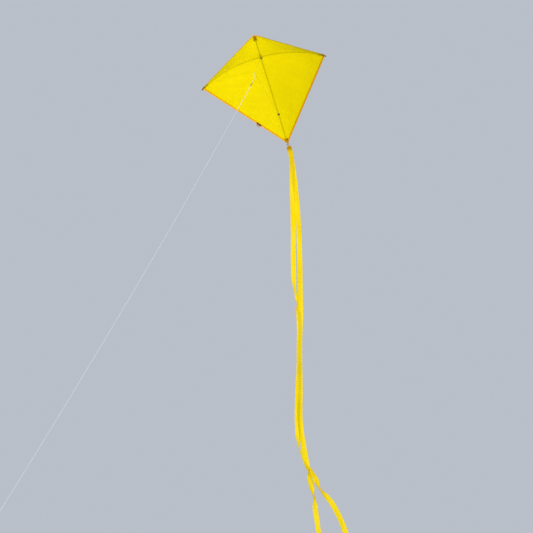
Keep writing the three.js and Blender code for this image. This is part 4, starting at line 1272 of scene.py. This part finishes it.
binding_plans = [
    ("left_tip_binding", tip_binding(-1, 1.5, 20), over_spreader, binding_tape),
    ("right_tip_outer_binding", tip_binding(1, 9, 15), over_spreader, binding_tape),
    ("right_tip_inner_binding", tip_binding(1, 19, 25), over_spreader, binding_tape),
    # A darker strip of tape across the nose, 9 to 15 mm from its corner.
    ("nose_dark_strip", corner_patch(NOSE, 1, 9, 15, 4), to_the_back, binding_tape),
    ("nose_binding", corner_patch(NOSE, 1, 16, 36, 5), to_the_back, patch_cloth),
    ("tail_binding", corner_patch(-TAIL, -1, 6, 32, 7), to_the_back, patch_cloth),
]
for name, place, direction, material in binding_plans:
    binding = lay_cloth(name, 16, 12, place, TAPE, direction)
    settle(binding, name, material, "kite", "patch_cloth")
    seam = sewing_round(place, direction, -TAPE / 2 - 0.1, margin=0.1)
    sewn(name + "_stitches", [seam], thread_brown, "kite", "patch_cloth", pitch=2 * MM, thread=0.00016)

# %% [markdown]
# ## The spars
# Two glass-fibre rods: a straight spine, and a spreader that the cloth's tension bends. The spine is a
# cylinder with its cut ends eased. The spreader is a circle of vertices spun about the middle of its bow,
# which is exactly what an evenly bent rod is.

# %% The spine
SPINE_TOP = NOSE - SPINE_END_SETBACK
SPINE_BOTTOM = -TAIL + SPINE_END_SETBACK
ROD_END = 1.3  # a rod stops this short of its cap's outer end
bare()
bpy.ops.mesh.primitive_cylinder_add(
    vertices=40, radius=ROD_RADIUS * MM, depth=(SPINE_TOP - SPINE_BOTTOM - 2 * ROD_END) * MM,
    location=(0, 0, (SPINE_TOP + SPINE_BOTTOM) / 2 * MM),
)
spine = bpy.context.object
apply_modifier(spine, "BEVEL", width=0.3 * MM, segments=3, limit_method="ANGLE")
settle(spine, "spine_rod_turned", glass_fibre, "kite", "fibreglass", "spine_rod")

# %% The spreader
spreader_angle = (SPREADER_LENGTH / 2 - ROD_END) / BOW_RADIUS
bow_middle = Vector((0, SPREADER_BEHIND + BOW_RADIUS, 0)) * MM
bare()
bpy.ops.mesh.primitive_circle_add(
    vertices=24, radius=ROD_RADIUS * MM, fill_type="NGON",
    location=(0, SPREADER_BEHIND * MM, 0), rotation=(0, math.pi / 2, 0),
)
spreader = bpy.context.object
bpy.ops.object.transform_apply(location=True, rotation=True)
to_one_end = Matrix.Translation(bow_middle) @ Matrix.Rotation(-spreader_angle, 4, "Z")
spreader.data.transform(to_one_end @ Matrix.Translation(-bow_middle))
bpy.ops.object.mode_set(mode="EDIT")
bpy.ops.mesh.select_all(action="SELECT")
bpy.ops.mesh.spin(steps=120, angle=-2 * spreader_angle, center=bow_middle, axis=(0, 0, 1))
bpy.ops.mesh.select_all(action="SELECT")
bpy.ops.mesh.normals_make_consistent(inside=False)
bpy.ops.object.mode_set(mode="OBJECT")
settle(spreader, "spreader_rod_bowed", glass_fibre, "kite", "fibreglass", "spreader_rod")

# %% [markdown]
# ### End caps
# A dipped vinyl cap: a cylinder whose open end is inset and sunk to take the rod, with its edges rounded.
# It is made once and copied to the four rod ends.

# %% End caps
CAP_LENGTH = 12
CAP_WALL = 1


def pick_faces(piece, wanted):
    """Selects the faces for which wanted(face) holds, and leaves the piece in edit mode."""
    only(piece)
    bpy.ops.object.mode_set(mode="EDIT")
    bpy.ops.mesh.select_mode(type="FACE")
    bpy.ops.mesh.select_all(action="DESELECT")
    bpy.ops.object.mode_set(mode="OBJECT")
    for face in piece.data.polygons:
        face.select = wanted(face)
    bpy.ops.object.mode_set(mode="EDIT")


def one_cap():
    """A cap with its outer end at the origin and its mouth up +Z."""
    bare()
    bpy.ops.mesh.primitive_cylinder_add(
        vertices=40, radius=CAP_RADIUS * MM, depth=CAP_LENGTH * MM, location=(0, 0, CAP_LENGTH / 2 * MM),
    )
    cap = bpy.context.object
    bpy.ops.object.transform_apply(location=True)
    pick_faces(cap, lambda face: face.normal.z > 0.9)
    bpy.ops.mesh.inset(thickness=(CAP_RADIUS - BORE_RADIUS) * MM)
    bpy.ops.mesh.extrude_region_move(TRANSFORM_OT_translate={"value": (0, 0, -(CAP_LENGTH - CAP_WALL) * MM)})
    bpy.ops.object.mode_set(mode="OBJECT")
    apply_modifier(cap, "BEVEL", width=0.35 * MM, segments=3, limit_method="ANGLE")
    turn_outward(cap)
    return cap


def placed(piece, tip, inward):
    turn = Vector((0, 0, 1)).rotation_difference(inward).to_matrix().to_4x4()
    piece.data.transform(Matrix.Translation(tip * MM) @ turn)
    return piece


first_cap = one_cap()
spreader_end = SPREADER_LENGTH / 2
cap_places = [("nose_cap", Vector((0, 0, SPINE_TOP)), Vector((0, 0, -1)))]
cap_places += [("tail_cap", Vector((0, 0, SPINE_BOTTOM)), Vector((0, 0, 1)))]
for side_name, side in SIDES:
    tip = on_spreader(side * spreader_end)
    inward = (on_spreader(side * (spreader_end - CAP_LENGTH)) - tip).normalized()
    cap_places.append((f"{side_name}_tip_cap", tip, inward))
for name, tip, inward in cap_places:
    cap = first_cap.copy()
    cap.data = first_cap.data.copy()
    bpy.context.scene.collection.objects.link(cap)
    settle(placed(cap, tip, inward), name + "_dipped", vinyl, "kite", "vinyl", name)
bpy.data.objects.remove(first_cap)

# %% [markdown]
# ### The cross connector
# A moulded vinyl cross joins the rods: one sleeve for the spine, one behind it for the spreader, and a
# flat pad on its back. The bodies are joined, the two bores are cut right through, and every edge is
# eased as a mould leaves it.

# %% The cross connector
CONNECTOR_RADIUS = 3.8
CONNECTOR_HALF_HEIGHT = 11
CONNECTOR_HALF_WIDTH = 10
CONNECTOR_PAD = 12
PAD_PROUD = 0.6


def sleeve(radius, length, centre, along_x, vertices=48):
    bare()
    bpy.ops.mesh.primitive_cylinder_add(
        vertices=vertices, radius=radius * MM, depth=length * MM,
        location=Vector(centre) * MM, rotation=(0, math.pi / 2 if along_x else 0, 0),
    )
    bpy.ops.object.transform_apply(location=True, rotation=True)
    return bpy.context.object


connector = sleeve(CONNECTOR_RADIUS, 2 * CONNECTOR_HALF_HEIGHT, (0, 0, 0), False)
across_sleeve = sleeve(CONNECTOR_RADIUS, 2 * CONNECTOR_HALF_WIDTH, (0, SPREADER_BEHIND, 0), True)
bare()
pad_behind = SPREADER_BEHIND + CONNECTOR_RADIUS / 2 + PAD_PROUD
bpy.ops.mesh.primitive_cube_add(size=1, location=(0, pad_behind * MM, 0))
pad = bpy.context.object
pad.scale = Vector((CONNECTOR_PAD, CONNECTOR_RADIUS, CONNECTOR_PAD)) * MM
bpy.ops.object.transform_apply(location=True, scale=True)
united(connector, across_sleeve, pad)
bores = [
    sleeve(BORE_RADIUS, 2 * CONNECTOR_HALF_HEIGHT + 4, (0, 0, 0), False),
    sleeve(BORE_RADIUS + 0.1, 2 * CONNECTOR_HALF_WIDTH + 4, (0, SPREADER_BEHIND, 0), True),
]
for bore in bores:
    apply_modifier(connector, "BOOLEAN", operation="DIFFERENCE", solver="EXACT", object=bore)
    bpy.data.objects.remove(bore)
apply_modifier(
    connector, "BEVEL", width=0.3 * MM, segments=3, limit_method="ANGLE", angle_limit=math.radians(50),
)
settle(connector, "cross_connector_moulded", vinyl, "kite", "vinyl", "cross_connector", smooth=35)

# %% [markdown]
# ## Where the bridle is tied on
# A pressed eyelet lines each hole in the sail: two domed flanges and a collar, drawn as one profile and
# spun. Its plating is given a dark brownish colour, painted shade for a face that the sun lights only from
# behind, so it is a dark spot on the yellow cloth. A short loop of the bridle's cord goes round the spine
# and out through it.

# %% Eyelets and hitches
EYELET_FLANGE = 6.2
SAIL_HALF_DEPTH = 0.4
EYELET_GAP = 0.6  # the cloth curves a little between the flanges
EYELET_THICKNESS = 0.6
EYELET_NEAR = SAIL_HALF_DEPTH + EYELET_GAP
EYELET_FAR = EYELET_NEAR + EYELET_THICKNESS
flange = [
    (EYELET_HOLE + 0.25, EYELET_FAR), (4.4, EYELET_FAR + 0.1), (5.6, EYELET_FAR),
    (EYELET_FLANGE - 0.1, EYELET_NEAR + 0.35), (EYELET_FLANGE, EYELET_NEAR + 0.1),
    (EYELET_FLANGE - 0.15, EYELET_NEAR), (EYELET_HOLE + EYELET_WALL, EYELET_NEAR),
]
eyelet_profile = [(EYELET_HOLE, -EYELET_FAR + 0.3)]
eyelet_profile += [(r, -h) for r, h in flange]
eyelet_profile += list(reversed(flange))
eyelet_profile += [(EYELET_HOLE, EYELET_FAR - 0.3), (EYELET_HOLE, -EYELET_FAR + 0.3)]

HITCH_RADIUS = 0.6
HITCH_FRONT = -(SAIL_AHEAD + EYELET_FAR + 2 * HITCH_RADIUS)
HITCH_ROUND = ROD_RADIUS + CLEARANCE + HITCH_RADIUS
HITCH_NARROW = EYELET_HOLE - HITCH_RADIUS - CLEARANCE
hitch_half = [
    (0, HITCH_ROUND), (HITCH_ROUND * 0.71, HITCH_ROUND * 0.71), (HITCH_ROUND, 0),
    (HITCH_NARROW * 1.15, -HITCH_ROUND), (HITCH_NARROW * 0.95, -SAIL_AHEAD),
    (HITCH_NARROW * 0.6, HITCH_FRONT + 0.4), (0, HITCH_FRONT),
]
for name, z in (("upper", UPPER_TIE), ("lower", LOWER_TIE)):
    eyelet = turned(f"{name}_eyelet_pressed", [(r * MM, h * MM) for r, h in eyelet_profile], 40)
    in_the_sail = Matrix.Translation(Vector((0, -SAIL_AHEAD, z)) * MM)
    eyelet.data.transform(in_the_sail @ Matrix.Rotation(math.pi / 2, 4, "X"))
    settle(eyelet, f"{name}_eyelet_pressed", eyelet_nickel_painted_shade, "kite", "bright_metal", f"{name}_eyelet")
    loop = [Vector((x, y, z)) * MM for x, y in hitch_half]
    loop += [Vector((-x, y, z)) * MM for x, y in reversed(hitch_half[1:-1])]
    hitch = tube(f"{name}_hitch_cord", closed_through(loop, 8), HITCH_RADIUS * MM, 10, closed=True)
    settle(hitch, f"{name}_hitch_cord", straw_braid, "kite", "bridle_cord", f"{name}_hitch")

# %% [markdown]
# ## The tail
# A tab of webbing is sewn to the tail corner and folded round a wire link; the header strap is folded
# round the link's lower bar, and both ribbons are sewn to it. A folded strap is its side outline, drawn
# round the bar, filled across its width and given the webbing's thickness.

# %% Folded webbing
LINK_WIRE = 0.7
LINK_HALF_WIDTH = 7.6
LINK_TOP = -TAIL - 5
LINK_BOTTOM = LINK_TOP - 11
TAB_WIDTH = 10
TAB_LENGTH = 26
WEBBING_WALL = 0.9
LOOP_INNER = LINK_WIRE + 2 * CLEARANCE
LOOP_MIDDLE = LOOP_INNER + WEBBING_WALL / 2
TAB_Y = -SAIL_AHEAD - HEM_HALF_DEPTH - CLEARANCE - (LOOP_INNER + WEBBING_WALL) - 0.4
HEADER_TOP = LINK_BOTTOM - LOOP_INNER
HEADER_WIDTH = 27
HEADER_LENGTH = 34
HEADER_THICKNESS = 2.4
HEADER_BOTTOM = HEADER_TOP - HEADER_LENGTH


def fold_outline(bar, away, length, gap):
    """The strap's middle line, from its front end up round the bar and back: (y, z) points."""
    meet = LOOP_MIDDLE + 3.0
    side = [(gap / 2, bar + away * (length - (length - meet) * s / 12)) for s in range(13)]
    throat = [
        (mix(gap / 2, LOOP_MIDDLE, eased(s / 5)), bar + away * mix(meet, 0.6, s / 5))
        for s in range(1, 6)
    ]
    bend = [
        (LOOP_MIDDLE * math.cos(a), bar - away * LOOP_MIDDLE * math.sin(a))
        for a in [math.pi * s / 14 for s in range(1, 8)]
    ]
    half = side + throat + bend
    return [(-y, z) for y, z in half] + [(y, z) for y, z in reversed(half[:-1])]


def strap(name, bar, away, length, gap, width, end_width=None):
    end_width = end_width or width
    outline = fold_outline(bar, away, length, gap)
    columns = 12
    points, marks, run = [], [], 0.0
    for index, (y, z) in enumerate(outline):
        if index:
            run += math.dist((y, z), outline[index - 1])
        down = abs(z - bar)
        half = mix(width, end_width, eased((down - LOOP_MIDDLE - 1) / 9)) / 2
        for j in range(columns + 1):
            x = half * (2 * j / columns - 1)
            points.append(Vector((x, TAB_Y + y, z)) * MM)
            marks.append((x * MM, run * MM))
    piece = from_grid(name, points, marks, columns)
    apply_modifier(piece, "SOLIDIFY", thickness=WEBBING_WALL * MM * 0.95, offset=0)
    apply_modifier(piece, "BEVEL", width=0.15 * MM, segments=2, limit_method="ANGLE")
    return piece


tail_tab = strap("tail_tab_strap", LINK_TOP, 1, TAB_LENGTH, WEBBING_WALL, TAB_WIDTH)
settle(tail_tab, "tail_tab_strap", webbing, "kite", "webbing", "tail_tab")
header_gap = HEADER_THICKNESS - WEBBING_WALL
header = strap("tail_header_strap", LINK_BOTTOM, -1, HEADER_LENGTH, header_gap, TAB_WIDTH, HEADER_WIDTH)
settle(header, "tail_header_strap", webbing, "tail", "ribbon", "tail_header")

# %% [markdown]
# Both straps are sewn with a box and a cross in dark thread, which shows as a brown square on the header.

# %% Box and cross seams
def box_and_cross(half_width, top, bottom, y):
    a, b = Vector((-half_width, y, top)) * MM, Vector((half_width, y, top)) * MM
    c, d = Vector((half_width, y, bottom)) * MM, Vector((-half_width, y, bottom)) * MM
    return [[a, b], [b, c], [c, d], [d, a], [a, c], [b, d]]


tab_face = WEBBING_WALL + 0.15
tab_seams = []
for sign in (-1, 1):
    tab_seams += box_and_cross(3.6, LINK_TOP + TAB_LENGTH - 2, LINK_TOP + 8, TAB_Y + sign * tab_face)
sewn("tail_tab_stitches", tab_seams, thread_brown, "kite", "webbing", pitch=2.2 * MM, thread=0.00025)
header_face = HEADER_THICKNESS / 2 + 0.12
header_seams = []
for sign in (-1, 1):
    for step in range(2):
        top, bottom = HEADER_TOP - 8 - step, HEADER_BOTTOM + 13.5 + step
        header_seams += box_and_cross(8.6 - step, top, bottom, TAB_Y + sign * header_face)
sewn("tail_header_stitches", header_seams, thread_brown, "tail", "ribbon", pitch=2.2 * MM, thread=0.0003)

# %% The wire link
LINK_CORNER = 2.4
straight = [
    (-LINK_HALF_WIDTH + LINK_CORNER, LINK_TOP), (LINK_HALF_WIDTH - LINK_CORNER, LINK_TOP),
    (LINK_HALF_WIDTH, LINK_TOP - LINK_CORNER), (LINK_HALF_WIDTH, LINK_BOTTOM + LINK_CORNER),
    (LINK_HALF_WIDTH - LINK_CORNER, LINK_BOTTOM), (-LINK_HALF_WIDTH + LINK_CORNER, LINK_BOTTOM),
    (-LINK_HALF_WIDTH, LINK_BOTTOM + LINK_CORNER), (-LINK_HALF_WIDTH, LINK_TOP - LINK_CORNER),
]
link_line = []
for index, (x, z) in enumerate(straight):
    nx, nz = straight[(index + 1) % len(straight)]
    corner_turn = index % 2 == 1
    for step in range(8):
        t = step / 8
        if corner_turn:
            right = 1 if x + nx > 0 else -1
            top = 1 if z + nz > LINK_TOP + LINK_BOTTOM else -1
            cx = right * (LINK_HALF_WIDTH - LINK_CORNER)
            cz = (LINK_TOP if top > 0 else LINK_BOTTOM) - top * LINK_CORNER
            angle = math.atan2(z - cz, x - cx) - t * math.pi / 2
            bent_x = cx + LINK_CORNER * math.cos(angle)
            bent_z = cz + LINK_CORNER * math.sin(angle)
            link_line.append(Vector((bent_x, TAB_Y, bent_z)) * MM)
        else:
            link_line.append(Vector((mix(x, nx, t), TAB_Y, mix(z, nz, t))) * MM)
# The link's darker nickel is painted shade.
tail_link = tube("tail_link_wire", link_line, LINK_WIRE * MM, 14, closed=True)
settle(tail_link, "tail_link_wire", nickel, "kite", "bright_metal", "tail_link")

# %% [markdown]
# ### The ribbons
# Two satin ribbons, each a strip cut to length, hang down the wind from the header. A strip follows its
# own middle line, one edge to its left and one to its right, and turns about that line where
# the air has twisted it. It cups a little across its width and its edges flutter, which is what makes a
# light ribbon look light.

# %% The ribbons' routes
LEFT_ROUTE = [  # across, depth and height, in millimetres
    (-43, 4, -877),
    (-91, 16, -1084),
    (-142, 26, -1290),
    (-175, 30, -1440),
    (-195, 30, -1610),
    (-264, 24, -1898),
    (-311, 16, -2068),
    (-353, 10, -2231),
    (-377, 8, -2371),
    (-366, 12, -2462),
    (-346, 22, -2533),
    (-336, 28, -2600),
    (-305, 30, -2680),
    (-286, 26, -2780),
    (-281, 20, -2890),
    (-294, 16, -3010),
    (-318, 14, -3130),
    (-334, 14, -3235),
]
RIGHT_ROUTE = [
    (-25, -16, -870),
    (-62, -24, -1093),
    (-106, -28, -1302),
    (-152, -28, -1500),
    (-200, -26, -1700),
    (-256, -24, -1904),
    (-296, -26, -2076),
    (-336, -32, -2237),
    (-356, -36, -2379),
    (-367, -34, -2518),
    (-377, -28, -2661),
    (-391, -26, -2770),
    (-404, -28, -2890),
    (-412, -30, -3010),
    (-416, -30, -3130),
    (-418, -30, -3215),
]
RIBBON_WIDTH = 25
RIBBON_CLOTH = 0.35
RIBBON_LAP = 12
RIBBON_ROOM = 0.6  # half the depth that a ribbon has in the frame
# Where a ribbon turns about its middle line and where it curls across its width: (height, reach, degrees).
LEFT_TWISTS = [
    (-1180, 60, 14), (-1490, 70, 58), (-1720, 60, 20), (-2380, 95, 74), (-2520, 30, 40), (-3050, 200, 30),
]
LEFT_CURLS = [(-1550, 36, 290), (-2480, 24, 170), (-2600, 34, 310)]
RIGHT_TWISTS = [
    (-1150, 80, -15), (-1800, 120, 22), (-2300, 90, -18), (-2530, 24, 40), (-2680, 26, 45), (-3000, 220, 34),
]
RIGHT_CURLS = [(-2300, 70, 60), (-2528, 20, 250), (-2660, 34, 310)]


def radians_at(z, places):
    """The turn at a height: each place adds its own, most at its middle and less away from it."""
    return math.radians(sum(most * math.exp(-(((z - where) / reach) ** 2)) for where, reach, most in places))


def ribbon(name, route, layer, twists, curls, phase):
    """Returns the ribbon and its length."""
    y = TAB_Y + layer * (HEADER_THICKNESS / 2 + CLEARANCE + RIBBON_ROOM)
    start = [
        (0, y, HEADER_BOTTOM + RIBBON_LAP), (0, y, HEADER_BOTTOM - 4),
        (-6, y + layer * 3, HEADER_BOTTOM - 60),
    ]
    middle = evenly(through([*start, *route], 40), 420)
    long = length_of(middle)
    columns = 10
    points, marks = [], []
    for i, centre in enumerate(middle):
        run = long * i / (len(middle) - 1)
        tangent = (middle[min(i + 1, len(middle) - 1)] - middle[max(i - 1, 0)]).normalized()
        free = eased((run - RIBBON_LAP - 4) / 120)
        flutter = math.radians(7 * math.sin(run / 95 + phase) + 4 * math.sin(run / 41 + 2 * phase)) * free
        turn = Quaternion(tangent, radians_at(centre.z, twists) + flutter)
        across = turn @ Vector((0, 1, 0)).cross(tangent).normalized()
        outward = tangent.cross(across).normalized()
        arc = radians_at(centre.z, curls) + math.radians(24) * math.sin(run / 160 + phase) * free
        bend = RIBBON_WIDTH / (arc if abs(arc) > 0.01 else 0.01)
        for j in range(columns + 1):
            t = j / columns - 0.5
            aside = bend * math.sin(RIBBON_WIDTH * t / bend)
            lift = bend * (math.cos(RIBBON_WIDTH * t / bend) - math.cos(RIBBON_WIDTH / 2 / bend))
            edge = 0.7 * (2 * t) ** 3 * math.sin(run / 34 + phase + 1.5 * t) * free
            points.append((centre + across * aside + outward * (lift + edge)) * MM)
            marks.append((t * RIBBON_WIDTH * MM, run * MM))
    piece = from_grid(name, points, marks, columns)
    apply_modifier(piece, "SOLIDIFY", thickness=RIBBON_CLOTH * MM, offset=0)
    return piece, long * MM


# %% Hanging the ribbons
ribbon_plans = [
    ("left", LEFT_ROUTE, 1, LEFT_TWISTS, LEFT_CURLS, 0.4),
    ("right", RIGHT_ROUTE, -1, RIGHT_TWISTS, RIGHT_CURLS, 2.1),
]
for side_name, route, layer, twists, curls, phase in ribbon_plans:
    body = f"{side_name}_streamer"
    piece, long = ribbon(f"ribbon_{side_name}", route, layer, twists, curls, phase)
    settle(piece, f"ribbon_{side_name}", satin, body, "ribbon", f"streamer_{side_name}", smooth=60)
    face = TAB_Y + layer * (HEADER_THICKNESS / 2 + CLEARANCE + RIBBON_ROOM + 0.35)
    seams = [at_mm([(-11, face, HEADER_BOTTOM + up), (11, face, HEADER_BOTTOM + up)]) for up in (2.5, 9.5)]
    stitches = f"ribbon_{side_name}_stitches"
    lap = sewn(stitches, seams, thread_brown, body, "ribbon", pitch=2.2 * MM, thread=0.0003)
    print(f"{side_name} ribbon:", round(long, 3), "m")

# %% [markdown]
# ### The edge tab
# A short brown band is folded over the lower left hem, with a paler flap that stands out beyond the edge.
# It carries nothing here: a plain tab.

# %% The edge tab
EDGE_TAB_PLACE = 0.67  # share of the way down the edge from the tip
TAB_LONG = 38
edge_length = math.hypot(HALF_SPAN, TAIL)
edge_u, edge_z = HALF_SPAN / edge_length, -TAIL / edge_length
tab_u, tab_z = -HALF_SPAN * (1 - EDGE_TAB_PLACE), -TAIL * EDGE_TAB_PLACE


def on_edge(along, out, height):
    return tab_u + along * edge_u + out * edge_z, tab_z + along * edge_z - out * edge_u, height, along, out


TAB_SECTION = [  # distance out past the edge, height: front, over the edge, and back
    (-7, -1.15), (-3, -1.2), (0.6, -1.15), (1.5, -0.7), (1.8, 0.0), (1.5, 0.7), (0.6, 1.15), (-3, 1.2),
    (-7, 1.15),
]


def tab_band(i, j):
    out, height = TAB_SECTION[round(j * (len(TAB_SECTION) - 1))]
    return on_edge(TAB_LONG * (i - 0.5), out, height)


def tab_flap(i, j):
    curl = 0.5 * math.sin(3 * i) + 1.2 * j * j
    return on_edge(mix(-17, 5, i), mix(2.0, 12, j), curl)


band = lay_cloth("edge_tab_band", 20, 8, tab_band, 0.4)
settle(band, "edge_tab_band", tab_cloth, "kite", "tab_cloth", "edge_tab")
flap = lay_cloth("edge_tab_flap", 16, 10, tab_flap, 0.4)
settle(flap, "edge_tab_flap", flap_cloth, "kite", "tab_cloth")
tab_seam = [on_sail(*on_edge(TAB_LONG * (s / 20 - 0.5) * 0.9, -5.6, -1.45)[:3]) * MM for s in range(21)]
sewn("edge_tab_stitches", [tab_seam], thread_gold, "kite", "tab_cloth", pitch=2.4 * MM)

# %% [markdown]
# ## Floor and light
# A pale floor lies well below the kite, under the flyer's feet. The sun stands behind and above the sail,
# as it does when a flyer looks up at one: it shines through the cloth, so the sail glows and the spars
# draw thin dark lines. A wide soft light fills the side that faces the flyer.

# %% The floor
FLOOR_WIDTH = 200
FLOOR_HEIGHT = -10.1
bare()
bpy.ops.mesh.primitive_plane_add(size=FLOOR_WIDTH, location=(0, 0, FLOOR_HEIGHT))
floor = bpy.context.object
floor.name = "floor"
floor_material, floor_nodes, floor_links = tree("pale_floor")
floor_surface = floor_nodes.new("ShaderNodeBsdfPrincipled")
floor_surface.inputs["Base Color"].default_value = (0.42, 0.435, 0.46, 1)
floor_surface.inputs["Roughness"].default_value = 0.9
floor_output = floor_nodes.new("ShaderNodeOutputMaterial")
floor_links.new(floor_surface.outputs[0], floor_output.inputs["Surface"])
floor.data.materials.append(floor_material)

# %% Sky, sun and fill
world = bpy.data.worlds.new("sky")
bpy.context.scene.world = world
world.use_nodes = True
sky = world.node_tree.nodes["Background"]
sky.inputs["Color"].default_value = (0.84, 0.9, 1.0, 1)
sky.inputs["Strength"].default_value = 0.58


def lamp(name, kind, energy, position, towards, **settings):
    light = bpy.data.lights.new(name, kind)
    light.energy = energy
    for key, value in settings.items():
        setattr(light, key, value)
    holder = bpy.data.objects.new(name, light)
    bpy.context.scene.collection.objects.link(holder)
    holder.location = position
    holder.rotation_mode = "QUATERNION"
    holder.rotation_quaternion = (Vector(towards) - Vector(position)).to_track_quat("-Z", "Y")
    return holder


lamp("sun", "SUN", 3.1, (1.0, 6.4, 7.2), (0, 0, 0), angle=math.radians(2.5))
lamp("fill", "AREA", 450, (-4, -7, 2), (0, 0, -0.5), size=6)
bpy.context.scene.view_settings.view_transform = "Standard"
